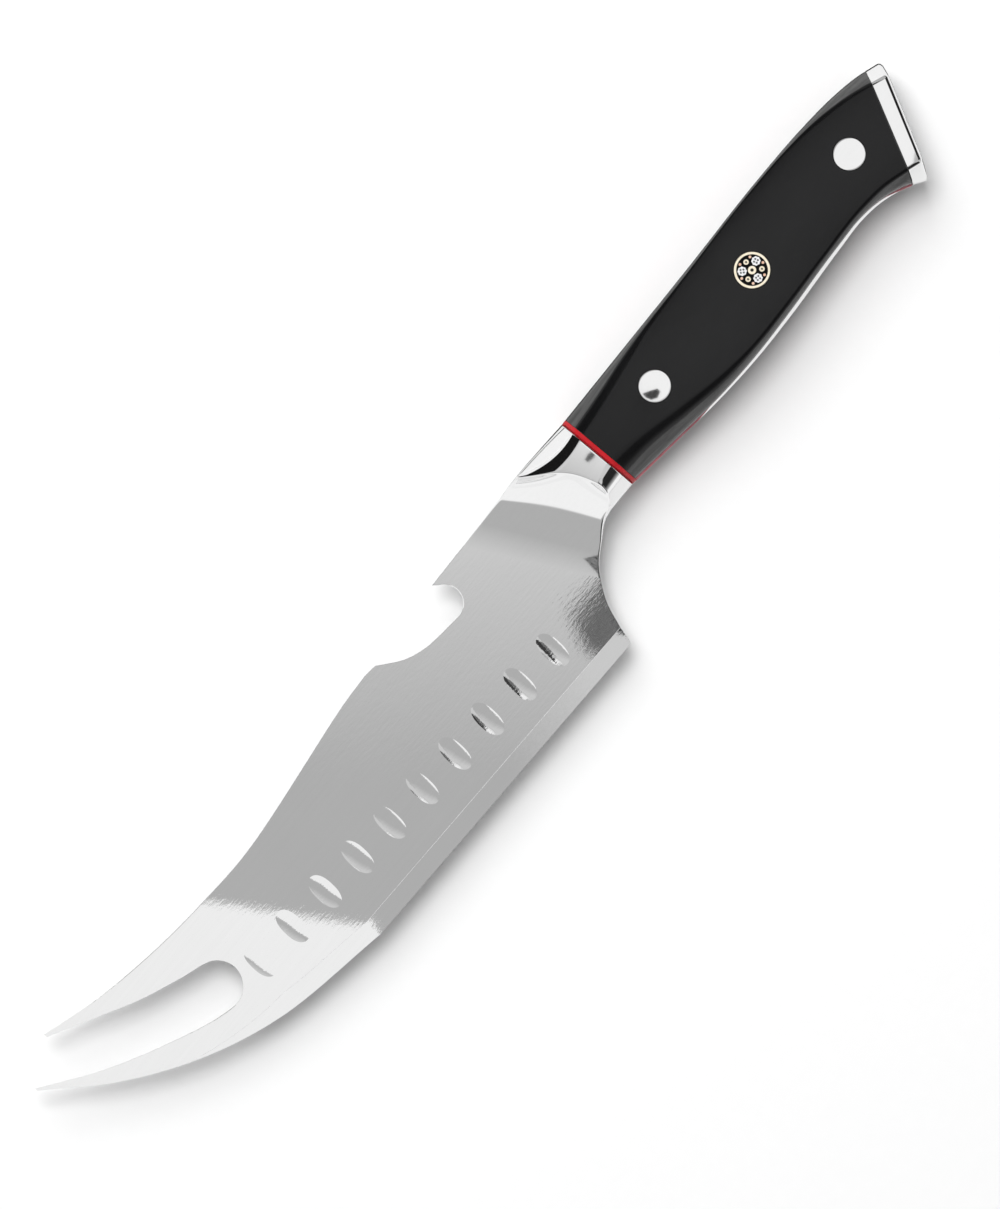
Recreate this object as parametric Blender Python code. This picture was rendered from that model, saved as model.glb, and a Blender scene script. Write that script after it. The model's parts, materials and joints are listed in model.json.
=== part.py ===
"""Barbecue knife: forked blade with an opener notch, bolster, full tang, pinned scales and end cap.

Metres. The knife is drawn with x = 0 on the rear face of the bolster, +X towards the butt of the
handle, +Y towards the spine, +Z out of the left face, and z = 0 in the middle of the blade. The
parent empty then moves it so that the origin lies under the middle of the finished knife.
"""

import math

import bmesh
import bpy
import numpy as np
from mathutils import Matrix, Vector

# Blade
BLADE_LENGTH = 0.1845
BLADE_THICKNESS = 0.0025
EDGE_DEPTH = 0.0321
EDGE_RISE = 0.0011
HEEL_SETBACK = 0.0266
HEEL_ROUNDING = 0.0008
BEVEL_WIDTH = 0.0040
EDGE_LAND = 0.0002
BEVEL_FADE_FROM_TIP = 0.050
BEVEL_END_FROM_TIP = 0.026
TINE_TIP_WIDTH = 0.0008
UPPER_TINE_SETBACK = 0.0103
UPPER_TINE_RISE = 0.0103

# Opener notch in the spine
NOTCH_SETBACK = 0.0463
NOTCH_HEIGHT = 0.0047
NOTCH_RADIUS = 0.0042
NOTCH_HOOK_ANGLE = math.radians(55.0)
HOOK_SETBACK = 0.0450
HOOK_HEIGHT = 0.0093
HUMP_SETBACK = 0.0695
HUMP_HEIGHT = 0.00785

# Hollows ground along both faces of the blade
HOLLOW_LENGTH = 0.0089
HOLLOW_WIDTH = 0.0045
HOLLOW_DEPTH = 0.00045
HOLLOW_END_ROUNDING = 0.0010
HOLLOW_PITCH = 0.01033
HOLLOW_FIRST_FROM_HEEL = 0.01215
HOLLOW_ABOVE_EDGE = 0.0122
HOLLOW_ROW_RISE = math.radians(3.3)
HOLLOW_SLOT_MARGIN = 0.0030

# Bolster, with a hollow ramp on each face from its crest down to the blade
RAMP_SLANT = math.radians(27.0)
RAMP_FOOT = 0.0260
RAMP_CREST = 0.0062
BOLSTER_FILLET = 0.0035

# Handle
HANDLE_LENGTH = 0.1014
HANDLE_THICKNESS = 0.0184
TANG_THICKNESS = 0.0024
LINER_THICKNESS = 0.0008
SPACER_THICKNESS = 0.0012
FACET_SLOPE = 1.13
FACET_FILLET = 0.0015

# End cap
CAP_THICKNESS = 0.0042
CAP_SLANT = math.radians(27.0)
CAP_ROUNDING = 0.0011
CAP_CROWN_RADIUS = 0.200

# Rivets and mosaic pin
RIVET_DIAMETER = 0.0071
FRONT_RIVET_INSET = 0.0181
REAR_RIVET_INSET = 0.0117
MOSAIC_DIAMETER = 0.0080
MOSAIC_WALL = 0.0006
MOSAIC_WEB = 0.00009
MOSAIC_TURN = math.radians(17.0)
ROSETTE_DIAMETER = 0.0021
ROSETTE_LOBES = 8
ROSETTE_LOBE_DEPTH = 0.00012
ROSETTE_HOLE = 0.0004
ROSETTE_HOLE_CIRCLE = 0.0009
CENTRE_TUBE_BORE = 0.0007
SMALL_TUBE_DIAMETER = 0.0012
SMALL_TUBE_BORE = 0.00045
WIRE_DIAMETER = 0.00064

# Fits
WELD_GAP = 0.00003
BOND_GAP = 0.00005
PIN_CLEARANCE = 0.00012

# How finely round stretches are drawn
CURVE_STEPS = 5
FILLET_STEPS = 3
HANDLE_STATIONS = 26
PIN_SIDES = 32
TUBE_SIDES = 16
HOLLOW_STEPS = 3
SCOOP_SIDES = 120
SLANT_SOLVES = 14

# Long lines of the handle seen from the side: share of the handle's length, height
SPINE_RAIL = ((0.0, 0.0101), (0.198, 0.0105), (0.435, 0.0110), (0.673, 0.0117), (0.821, 0.0115),
              (0.910, 0.0108), (0.969, 0.0098), (1.048, 0.0074))
SPINE_FLAT_RAIL = ((0.0, 0.0063), (0.099, 0.0074), (0.178, 0.0085), (0.257, 0.0094), (0.396, 0.0101),
                   (0.643, 0.0111), (0.742, 0.0110), (0.836, 0.0101), (0.915, 0.0085), (1.048, 0.0038))
BELLY_FLAT_RAIL = ((0.0, -0.0055), (0.073, -0.0060), (0.183, -0.0082), (0.297, -0.0103), (0.406, -0.0110),
                   (0.485, -0.0108), (0.633, -0.0100), (0.772, -0.0096), (0.831, -0.0102),
                   (0.893, -0.0119), (1.048, -0.0170))
BELLY_RAIL = ((0.0, -0.0100), (0.143, -0.0115), (0.261, -0.0127), (0.376, -0.0132), (0.495, -0.0129),
              (0.678, -0.0117), (0.752, -0.0114), (0.807, -0.0121), (0.855, -0.0137),
              (0.900, -0.0161), (1.048, -0.0240))

# Spine between the bolster's rear face and the opener's hook: distance in front of that face, height
ROOT_SPINE_POINTS = ((0.0140, 0.0104), (0.0280, 0.0098))

# Spine on both sides of the hump: distance behind the hump's top, height above it
NOTCH_RISE_POINTS = ((0.0132, -0.0062), (0.0085, -0.0044), (0.0049, -0.0017), (0.0032, -0.0003))
HUMP_FALL_POINT = (-0.0080, -0.0005)

# Outline of the fork and belly: distance from the lower tine's tip, height
BELLY_POINTS = ((0.0, 0.0043), (0.0130, -0.0081), (0.0281, -0.0183), (0.0465, -0.0260))
BELLY_END_FROM_TIP = 0.0742
SLOT_POINTS = ((0.0120, -0.0033), (0.0244, -0.0100), (0.0380, -0.0157), (0.0438, -0.0166),
               (0.0472, -0.0143), (0.0483, -0.0108), (0.0465, -0.0069), (0.0386, -0.0037),
               (0.0295, 0.0000), (0.0212, 0.0044))
FORK_SPINE_POINTS = ((0.0244, 0.0071), (0.0414, 0.0043), (0.0552, 0.0032), (0.0696, 0.0029))

# Outline of the choil: distance in front of the bolster's rear face, height
CHOIL_POINTS = ((0.0072, -0.0100), (0.0100, -0.0106), (0.0135, -0.0127), (0.0183, -0.0160), (0.0230, -0.0220))
CHOIL_FOOT_FROM_HEEL = (0.0010, 0.0038)

# Colour, roughness, metallic
POLISHED_STEEL = ((0.80, 0.80, 0.80), 0.12, 1.0)
SATIN_STEEL = ((0.66, 0.66, 0.66), 0.28, 1.0)
BLACK_LAMINATE = ((0.018, 0.018, 0.018), 0.38, 0.0)
RED_FIBRE = ((0.55, 0.02, 0.03), 0.45, 0.0)
BRASS = ((0.80, 0.66, 0.42), 0.25, 1.0)
COPPER = ((0.78, 0.50, 0.38), 0.30, 1.0)
NICKEL = ((0.78, 0.78, 0.78), 0.22, 1.0)
BLACK_RESIN = ((0.008, 0.008, 0.008), 0.30, 0.0)

# Places that follow from the sizes above
HALF_BLADE = BLADE_THICKNESS / 2
HALF_TANG = TANG_THICKNESS / 2
HALF_HANDLE = HANDLE_THICKNESS / 2
LINER_LOW = HALF_TANG + BOND_GAP
LINER_HIGH = LINER_LOW + LINER_THICKNESS
SCALE_LOW = LINER_HIGH + BOND_GAP
SCALE_FRONT = SPACER_THICKNESS + 2 * BOND_GAP
CAP_SEAM = HANDLE_LENGTH - CAP_THICKNESS / math.cos(CAP_SLANT)
SCALE_REAR = CAP_SEAM - BOND_GAP / math.cos(CAP_SLANT)
TANG_REAR = CAP_SEAM - WELD_GAP / math.cos(CAP_SLANT)
FRONT_RIVET_X = SPACER_THICKNESS + FRONT_RIVET_INSET
REAR_RIVET_X = CAP_SEAM - REAR_RIVET_INSET
MOSAIC_X = (FRONT_RIVET_X + REAR_RIVET_X) / 2
HEEL = Vector((-HEEL_SETBACK, -EDGE_DEPTH))
CHOIL_FOOT = HEEL + Vector(CHOIL_FOOT_FROM_HEEL)
HOOK_TIP = Vector((-HOOK_SETBACK, HOOK_HEIGHT))
HUMP = Vector((-HUMP_SETBACK, HUMP_HEIGHT))


# Lines and loops of points


def smooth_path(points):
    """A smooth line through points in a plane: a centripetal spline, which never loops or overshoots."""
    points = [Vector(point) for point in points]
    knots = [2 * points[0] - points[1], *points, 2 * points[-1] - points[-2]]
    path = []
    for before, start, end, after in zip(knots, knots[1:], knots[2:], knots[3:]):
        first = math.sqrt((start - before).length)
        middle = math.sqrt((end - start).length)
        last = math.sqrt((after - end).length)
        leave = (start - before) / first - (end - before) / (first + middle) + (end - start) / middle
        arrive = (end - start) / middle - (after - start) / (middle + last) + (after - end) / last
        for step in range(CURVE_STEPS):
            path.append(hermite(start, leave * middle, end, arrive * middle, step / CURVE_STEPS))
    return path + [points[-1]]


def hermite(start, leave, end, arrive, t):
    """The place at t, from 0 to 1, on a cubic between two ends with a given direction at each."""
    near_start = 2 * t**3 - 3 * t**2 + 1
    near_end = 3 * t**2 - 2 * t**3
    return near_start * start + (t**3 - 2 * t**2 + t) * leave + near_end * end + (t**3 - t**2) * arrive


def arc(centre, radius, start, end, steps):
    """Points on an arc between two angles, both ends included."""
    angles = [start + (end - start) * step / steps for step in range(steps + 1)]
    return [Vector(centre) + radius * Vector((math.cos(angle), math.sin(angle))) for angle in angles]


def circle(centre, radius, sides):
    """The corners of a round loop."""
    return arc(centre, radius, 0.0, 2 * math.pi, sides)[:-1]


def fillet(before, corner, after, radius):
    """Points of the round that replaces a corner, tangent to both of its sides."""
    back = (before - corner).normalized()
    ahead = (after - corner).normalized()
    half = back.angle(ahead) / 2
    centre = corner + (back + ahead).normalized() * radius / math.sin(half)
    arm = corner + back * radius / math.tan(half) - centre
    turn = arm.angle_signed(corner + ahead * radius / math.tan(half) - centre)
    start = math.atan2(arm.y, arm.x)
    return arc(centre, radius, start, start - turn, FILLET_STEPS)


def rail(points):
    """One of the handle's long lines, as a function that gives its height at x."""
    places = np.array([point[0] for point in points]) * HANDLE_LENGTH
    heights = np.array([point[1] for point in points])
    slopes = np.gradient(heights, places)

    def height(x):
        x = min(max(x, places[0]), places[-1])
        span = min(int(np.searchsorted(places, x, side="right")) - 1, len(places) - 2)
        width = places[span + 1] - places[span]
        leave, arrive = slopes[span] * width, slopes[span + 1] * width
        return float(hermite(heights[span], leave, heights[span + 1], arrive, (x - places[span]) / width))

    return height


spine_line = rail(SPINE_RAIL)
spine_flat_line = rail(SPINE_FLAT_RAIL)
belly_flat_line = rail(BELLY_FLAT_RAIL)
belly_line = rail(BELLY_RAIL)


def handle_corners(x):
    """Corners of the handle's section at x above the middle plane: side, facet, flat, facet, side."""
    spine, spine_flat = spine_line(x), spine_flat_line(x)
    belly, belly_flat = belly_line(x), belly_flat_line(x)
    return [
        Vector((spine, HALF_HANDLE - FACET_SLOPE * (spine - spine_flat))),
        Vector((spine_flat, HALF_HANDLE)),
        Vector((belly_flat, HALF_HANDLE)),
        Vector((belly, HALF_HANDLE - FACET_SLOPE * (belly_flat - belly))),
    ]


def rounded_profile(corners, start, end):
    """The four corners of a handle section with rounds in their place, between two end points."""
    steep = math.atan(FACET_SLOPE)
    spread = math.tan(steep / 2) + math.tan((math.pi / 2 - steep) / 2)
    spine_fillet = min(FACET_FILLET, (corners[0] - corners[1]).length / spread)
    belly_fillet = min(FACET_FILLET, (corners[3] - corners[2]).length / spread)
    radii = (spine_fillet, spine_fillet, belly_fillet, belly_fillet)
    line = [start, *corners, end]
    profile = [start]
    for before, corner, after, radius in zip(line, corners, line[2:], radii):
        profile += fillet(before, corner, after, radius)
    return profile + [end]


def handle_profile(x, low):
    """The handle's section at x from a height above the middle plane up, as (y, z) points."""
    corners = handle_corners(x)
    return rounded_profile(corners, Vector((corners[0].x, low)), Vector((corners[3].x, low)))


def slanted_section(x, slant, low):
    """The handle's section on an upright plane that crosses y = 0 at x and leans by the slant."""
    section = []
    for index in range(len(handle_profile(x, low))):
        place = x
        for _ in range(SLANT_SOLVES):
            y, z = handle_profile(place, low)[index]
            place = x + y * math.tan(slant)
        section.append(Vector((place, y, z)))
    return section


# Meshes


def collect(name, parent):
    """A new collection inside another."""
    collection = bpy.data.collections.new(name)
    parent.children.link(collection)
    return collection


def mesh_object(name, mesh, collection):
    """An object for a mesh, welded and with its faces pointing out."""
    shape = bmesh.new()
    shape.from_mesh(mesh)
    bmesh.ops.remove_doubles(shape, verts=shape.verts, dist=1e-7)
    bmesh.ops.recalc_face_normals(shape, faces=shape.faces)
    shape.to_mesh(mesh)
    shape.free()
    made = bpy.data.objects.new(name, mesh)
    collection.objects.link(made)
    return made


def plate(name, loops, low, high, collection):
    """A flat piece between two heights: the first loop is its outline, and the others are holes in it."""
    curve = bpy.data.curves.new(name, "CURVE")
    curve.dimensions = "2D"
    curve.fill_mode = "BOTH"
    curve.extrude = (high - low) / 2
    for loop in loops:
        spline = curve.splines.new("POLY")
        spline.points.add(len(loop) - 1)
        for point, place in zip(spline.points, loop):
            point.co = (place[0], place[1], 0.0, 1.0)
        spline.use_cyclic_u = True
    drawn = bpy.data.objects.new(name + "_outline", curve)
    collection.objects.link(drawn)
    graph = bpy.context.evaluated_depsgraph_get()
    mesh = bpy.data.meshes.new_from_object(drawn.evaluated_get(graph))
    bpy.data.objects.remove(drawn)
    mesh.name = name
    mesh.transform(Matrix.Translation((0, 0, (high + low) / 2)))
    return mesh_object(name, mesh, collection)


def fill_across(shape, row):
    """Closes an end of a loft with strips from one half of its ring to the other."""
    last = len(row) - 1
    for index in range(last // 2):
        corners = row[index:index + 2] + row[last - index - 1:last - index + 1]
        shape.faces.new(list(dict.fromkeys(corners)))


def loft(name, rings, collection):
    """A closed solid through rings that all have the same number of points."""
    shape = bmesh.new()
    rows = [[shape.verts.new(point) for point in ring] for ring in rings]
    for row, following in zip(rows, rows[1:]):
        for index in range(len(row)):
            ahead = (index + 1) % len(row)
            shape.faces.new((row[index], row[ahead], following[ahead], following[index]))
    for row in (rows[0], rows[-1]):
        fill_across(shape, row)
    mesh = bpy.data.meshes.new(name)
    shape.to_mesh(mesh)
    shape.free()
    return mesh_object(name, mesh, collection)


def mirrored(shape, name, collection):
    """A copy of a piece on the other side of the middle plane."""
    mesh = shape.data.copy()
    mesh.name = name
    mesh.transform(Matrix.Scale(-1, 4, Vector((0, 0, 1))))
    return mesh_object(name, mesh, collection)


def cutter(shape, collection):
    """Marks an object as a cutter, which is not a piece of the knife but moves with it."""
    for old in shape.users_collection:
        old.objects.unlink(shape)
    collection.objects.link(shape)
    shape.hide_render = True
    shape.display_type = "WIRE"
    shape.parent = knife
    return shape


def block_beyond(name, point, direction):
    """A cutter that fills the space beyond an upright plane, on the side that the direction points to."""
    size = BLADE_LENGTH + HANDLE_LENGTH
    bpy.ops.mesh.primitive_cube_add(size=size)
    block = bpy.context.object
    block.name = name
    turn = math.atan2(direction.y, direction.x)
    centre = point + direction * size / 2
    block.matrix_world = Matrix.Translation((*centre, 0)) @ Matrix.Rotation(turn, 4, "Z")
    return block


def boolean(shape, other, operation="DIFFERENCE"):
    """Cuts a piece by another object or by every object of a collection, or keeps what they share."""
    modifier = shape.modifiers.new(operation.lower(), "BOOLEAN")
    modifier.operation = operation
    modifier.solver = "EXACT"
    if isinstance(other, bpy.types.Collection):
        modifier.operand_type = "COLLECTION"
        modifier.collection = other
    else:
        modifier.object = other


def finish(shape, look):
    """Gives a piece its material, shades its round faces smooth and hangs it on the parent empty."""
    colour, roughness, metallic = look
    material = bpy.data.materials.new(shape.name)
    material.use_nodes = True
    shader = material.node_tree.nodes["Principled BSDF"]
    shader.inputs["Base Color"].default_value = (*colour, 1.0)
    shader.inputs["Roughness"].default_value = roughness
    shader.inputs["Metallic"].default_value = metallic
    material.diffuse_color = (*colour, 1.0)
    shape.data.materials.append(material)
    shape.data.shade_smooth()
    shape.data.set_sharp_from_angle(angle=math.radians(35.0))
    shape.parent = knife
    return shape


# Blade and bolster


def root_spine_path():
    """The spine, from the bolster's rear face to the tip of the opener's hook."""
    return smooth_path([(0.0, SPINE_RAIL[0][1]), *[(-x, y) for x, y in ROOT_SPINE_POINTS], HOOK_TIP])


def notch_path():
    """The opener notch, from its hook round the bottom and up to the hump of the spine."""
    centre = Vector((-NOTCH_SETBACK, NOTCH_HEIGHT))
    bite = arc(centre, NOTCH_RADIUS, NOTCH_HOOK_ANGLE, -math.pi / 2, 2 * CURVE_STEPS)
    return bite[:-1] + smooth_path([bite[-1], *[HUMP + Vector(point) for point in NOTCH_RISE_POINTS]])


def from_tip(points):
    """Points given by their distance from the lower tine's tip."""
    return [(x - BLADE_LENGTH, y) for x, y in points]


def upper_tine_path():
    """The spine from the hump to the upper tine's tip."""
    tip = (UPPER_TINE_SETBACK - BLADE_LENGTH, UPPER_TINE_RISE + TINE_TIP_WIDTH)
    return smooth_path([HUMP, HUMP + Vector(HUMP_FALL_POINT), *reversed(from_tip(FORK_SPINE_POINTS)), tip])


def slot_path():
    """The slot of the fork, from the upper tine's tip to the lower one's."""
    upper = (UPPER_TINE_SETBACK - BLADE_LENGTH, UPPER_TINE_RISE)
    lower = (-BLADE_LENGTH, BELLY_POINTS[0][1] + TINE_TIP_WIDTH)
    return smooth_path([upper, *reversed(from_tip(SLOT_POINTS)), lower])


def edge_path():
    """The cutting edge, from the lower tine's tip round the belly to where it runs straight to the heel."""
    return smooth_path([*from_tip(BELLY_POINTS), (BELLY_END_FROM_TIP - BLADE_LENGTH, EDGE_RISE - EDGE_DEPTH)])


def choil_path():
    """The choil, from the heel up to the bolster's rear face."""
    points = [(-x, y) for x, y in reversed(CHOIL_POINTS)]
    return smooth_path([CHOIL_FOOT, *points]) + [Vector((0.0, BELLY_RAIL[0][1]))]


def blade_outline():
    """The whole steel outline in front of the handle: spine, notch, fork, edge, heel and choil."""
    edge = edge_path()
    heel = fillet(edge[-1], HEEL, CHOIL_FOOT, HEEL_ROUNDING)
    return [*root_spine_path(), *notch_path(), *upper_tine_path(), *slot_path(), *edge, *heel, *choil_path()]


def bevel_cutter(side):
    """What the edge's grind takes off one face: a wedge along the edge, which runs out past the belly."""
    edge = edge_path()
    edge += [HEEL, HEEL + (HEEL - edge[-1]).normalized() * HEEL_SETBACK]
    slope = (HALF_BLADE - EDGE_LAND / 2) / BEVEL_WIDTH
    margin = BEVEL_WIDTH / 4
    reach = BEVEL_WIDTH + margin
    low = EDGE_LAND / 2 - slope * margin
    high = EDGE_LAND / 2 + slope * reach
    rings = []
    for before, place, after in zip(edge, edge[1:], edge[2:] + edge[-1:]):
        from_tip_end = place.x + BLADE_LENGTH
        if from_tip_end < BEVEL_END_FROM_TIP:
            continue
        along = (after - before).normalized()
        inward = Vector((-along.y, along.x))
        fade = (BEVEL_FADE_FROM_TIP - from_tip_end) / (BEVEL_FADE_FROM_TIP - BEVEL_END_FROM_TIP)
        foot = place - inward * BEVEL_WIDTH * max(fade, 0.0)
        outer = foot - inward * margin
        inner = foot + inward * reach
        rings.append([(*outer, side * low), (*inner, side * high), (*outer, side * high)])
    return loft(f"bevel_cutter_{side}", rings, cutters)


def hollow_cutter(place, side, index):
    """One ground hollow: a round bar across the blade with blunt round ends, sunk a little into a face."""
    radius = ((HOLLOW_WIDTH / 2) ** 2 + HOLLOW_DEPTH**2) / (2 * HOLLOW_DEPTH)
    half_angle = math.asin(HOLLOW_WIDTH / 2 / radius)
    straight = HOLLOW_LENGTH / 2 - HOLLOW_END_ROUNDING
    along = Vector((-math.cos(HOLLOW_ROW_RISE), math.sin(HOLLOW_ROW_RISE)))
    across = Vector((-along.y, along.x))
    height = HALF_BLADE - HOLLOW_DEPTH + radius
    spread = half_angle * (HOLLOW_STEPS + 1) / HOLLOW_STEPS
    rings = []
    for end in (-1, 1):
        for step in range(HOLLOW_STEPS + 2)[::end]:
            angle = half_angle * step / HOLLOW_STEPS
            rounding = HOLLOW_END_ROUNDING * math.sin(angle) / math.sin(half_angle)
            middle = place + across * end * (straight + rounding)
            reach = radius * math.cos(angle)
            low = arc((0.0, height), reach, -math.pi / 2 - spread, -math.pi / 2 + spread, 2 * HOLLOW_STEPS)
            rings.append([(*(middle + along * point.x), side * point.y) for point in low])
    return loft(f"hollow_cutter_{side}_{index}", rings, cutters)


def hollow_places():
    """Centres of the hollows, from the heel to the slot of the fork."""
    first = HEEL + Vector((-HOLLOW_FIRST_FROM_HEEL, HOLLOW_ABOVE_EDGE))
    step = HOLLOW_PITCH * Vector((-math.cos(HOLLOW_ROW_RISE), math.sin(HOLLOW_ROW_RISE)))
    slot_end = max(x for x, _ in SLOT_POINTS) - BLADE_LENGTH
    count = 1 + int((slot_end + HOLLOW_SLOT_MARGIN - first.x) / step.x)
    return [first + step * index for index in range(count)]


def ramp_direction():
    """Across the ramp, in the plane of the blade, from its foot towards the handle."""
    return Vector((math.cos(RAMP_SLANT), math.sin(RAMP_SLANT)))


def make_blade():
    """The blade: the outline's plate up to the weld, ground to its edge and hollowed on both faces."""
    blade = plate("blade", [blade_outline()], -HALF_BLADE, HALF_BLADE, parts)
    weld = -ramp_direction() * (RAMP_FOOT + WELD_GAP)
    cutter(block_beyond("blade_weld_cutter", weld, ramp_direction()), blade_cutters)
    for side in (1, -1):
        cutter(bevel_cutter(side), blade_cutters)
        for index, place in enumerate(hollow_places(), 1):
            cutter(hollow_cutter(place, side, index), blade_cutters)
    boolean(blade, blade_cutters)
    return finish(blade, SATIN_STEEL)


def ramp_cutter(side):
    """The round scoop of one ramp, tangent to the blade's face along the weld."""
    rise = HALF_HANDLE - HALF_BLADE
    run = RAMP_FOOT - RAMP_CREST
    radius = (run**2 + rise**2) / (2 * rise)
    across = ramp_direction()
    axis = Vector((across.y, -across.x, 0.0))
    bpy.ops.mesh.primitive_cylinder_add(vertices=SCOOP_SIDES, radius=radius, depth=4 * RAMP_FOOT)
    scoop = bpy.context.object
    scoop.name = f"ramp_cutter_{side}"
    centre = Vector((*(-across * RAMP_FOOT), side * (HALF_BLADE + radius)))
    scoop.matrix_world = Matrix.Translation(centre) @ axis.to_track_quat("Z", "Y").to_matrix().to_4x4()
    return scoop


def bolster_profile():
    """Half of the bolster's section: the handle's front section with its spine facet run on past the
    outline, and a level brim over the choil."""
    corners = handle_corners(0.0)
    beyond = (HALF_HANDLE - HALF_BLADE) / FACET_SLOPE
    start = Vector((corners[1].x + beyond, HALF_BLADE))
    brim = Vector((-EDGE_DEPTH, corners[3].y))
    spine_round = fillet(start, corners[1], corners[2], BOLSTER_FILLET)
    belly_round = fillet(corners[1], corners[2], corners[3], BOLSTER_FILLET)
    return [start, *spine_round, *belly_round, corners[3], brim]


def make_bolster():
    """The bolster: the outline's root, shaped to the handle's facets and scooped down to the blade."""
    low_corner = Vector((HOOK_TIP.x, CHOIL_FOOT.y))
    outline = [*root_spine_path(), low_corner, *choil_path()]
    bolster = plate("bolster", [outline], -HANDLE_THICKNESS, HANDLE_THICKNESS, parts)
    half = bolster_profile()
    loop = half + [Vector((point.x, -point.y)) for point in reversed(half)]
    section = plate("bolster_section", [loop], -2 * HOOK_SETBACK, HOOK_SETBACK, cutters)
    section.data.transform(Matrix(((0, 0, 1, 0), (1, 0, 0, 0), (0, 1, 0, 0), (0, 0, 0, 1))))
    weld = -ramp_direction() * RAMP_FOOT
    cutter(block_beyond("bolster_weld_cutter", weld, -ramp_direction()), bolster_cutters)
    for side in (1, -1):
        cutter(ramp_cutter(side), bolster_cutters)
    boolean(bolster, cutter(section, cutters), "INTERSECT")
    boolean(bolster, bolster_cutters)
    return finish(bolster, POLISHED_STEEL)


# Handle


def side_line(height, front, rear):
    """One long edge of a flat handle piece, from its square front to its slanted rear."""
    line = []
    for station in range(HANDLE_STATIONS + 1):
        share = station / HANDLE_STATIONS
        place = front
        for _ in range(SLANT_SOLVES):
            y = height(place)
            place = front + share * (rear + y * math.tan(CAP_SLANT) - front)
        line.append(Vector((place, y)))
    return line


def handle_plate(name, front, rear, low, high):
    """A flat piece of the handle's outline with holes for the pins."""
    outline = side_line(spine_line, front, rear) + side_line(belly_line, front, rear)[::-1]
    holes = [circle((x, 0.0), diameter / 2 + PIN_CLEARANCE, PIN_SIDES) for x, diameter in PINS]
    return plate(name, [outline, *holes], low, high, parts)


def make_tang():
    """The full tang, welded between the bolster and the end cap."""
    return finish(handle_plate("tang", WELD_GAP, TANG_REAR, -HALF_TANG, HALF_TANG), SATIN_STEEL)


def make_liners():
    """Thin red liners on both faces of the tang."""
    left = handle_plate("liner_left", SCALE_FRONT, SCALE_REAR, LINER_LOW, LINER_HIGH)
    right = mirrored(left, "liner_right", parts)
    return [finish(left, RED_FIBRE), finish(right, RED_FIBRE)]


def make_spacers():
    """Red spacers between the bolster and the scales, on both sides of the tang."""
    rings = [slanted_section(x, 0.0, LINER_LOW) for x in (BOND_GAP, BOND_GAP + SPACER_THICKNESS)]
    left = loft("spacer_left", rings, parts)
    right = mirrored(left, "spacer_right", parts)
    return [finish(left, RED_FIBRE), finish(right, RED_FIBRE)]


def make_scales():
    """The scales: bevelled along both edges, square in front, slanted at the cap, drilled for the pins."""
    rings = []
    for station in range(HANDLE_STATIONS + 1):
        share = station / HANDLE_STATIONS
        x = SCALE_FRONT + share * (SCALE_REAR - SCALE_FRONT)
        slant = math.atan(share * math.tan(CAP_SLANT))
        rings.append(slanted_section(x, slant, SCALE_LOW))
    left = loft("scale_left", rings, parts)
    right = mirrored(left, "scale_right", parts)
    for x, diameter in PINS:
        hole = circle((x, 0.0), diameter / 2 + PIN_CLEARANCE, PIN_SIDES)
        drill = plate("pin_hole_cutter", [hole], -HANDLE_THICKNESS, HANDLE_THICKNESS, cutters)
        cutter(drill, scale_cutters)
    boolean(left, scale_cutters)
    boolean(right, scale_cutters)
    return [finish(left, BLACK_LAMINATE), finish(right, BLACK_LAMINATE)]


def cap_ring(x, share, drawn_in):
    """A ring round the end cap, drawn in by a distance and bowed by a share of the rear face's crown."""
    half = slanted_section(x, CAP_SLANT, 0.0)[1:-1]
    ring = half + [Vector((place.x, place.y, -place.z)) for place in reversed(half)]
    bowed = []
    for before, place, after in zip(ring[-1:] + ring, ring, ring[1:] + ring[:1]):
        along = Vector((after.y - before.y, after.z - before.z)).normalized()
        y = place.y - along.y * drawn_in
        z = place.z + along.x * drawn_in
        bow = share * y**2 / (2 * CAP_CROWN_RADIUS)
        bowed.append(Vector((x + y * math.tan(CAP_SLANT) - bow, y, z)))
    return bowed


def make_end_cap():
    """The end cap: a slanted slice of the handle's shape with a crowned rear face and a rounded rim."""
    depths = [(0.0, 0.0)]
    for step in range(FILLET_STEPS + 1):
        angle = math.pi / 2 * step / FILLET_STEPS
        depth = CAP_THICKNESS - CAP_ROUNDING * (1 - math.sin(angle))
        depths.append((depth, CAP_ROUNDING * (1 - math.cos(angle))))
    rings = []
    for depth, drawn_in in depths:
        x = CAP_SEAM + depth / math.cos(CAP_SLANT)
        rings.append(cap_ring(x, depth / CAP_THICKNESS, drawn_in))
    return finish(loft("end_cap", rings, parts), POLISHED_STEEL)


# Rivets and mosaic pin

PINS = ((FRONT_RIVET_X, RIVET_DIAMETER), (MOSAIC_X, MOSAIC_DIAMETER), (REAR_RIVET_X, RIVET_DIAMETER))


def pin_piece(name, loops, look):
    """A piece of constant section that runs through the whole handle, flush with both scales."""
    return finish(plate(name, loops, -HALF_HANDLE, HALF_HANDLE, parts), look)


def rosette_loop(centre, radius):
    """The outline of a rosette: a circle with shallow lobes."""
    sides = 4 * ROSETTE_LOBES
    loop = []
    for side in range(sides):
        angle = 2 * math.pi * side / sides
        reach = radius - ROSETTE_LOBE_DEPTH * (1 - math.cos(ROSETTE_LOBES * angle)) / 2
        loop.append(centre + reach * Vector((math.cos(angle), math.sin(angle))))
    return loop


def around(distance, angle):
    """A place at a distance and an angle from the mosaic pin's middle."""
    return Vector((MOSAIC_X, 0.0)) + distance * Vector((math.cos(angle), math.sin(angle)))


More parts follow.
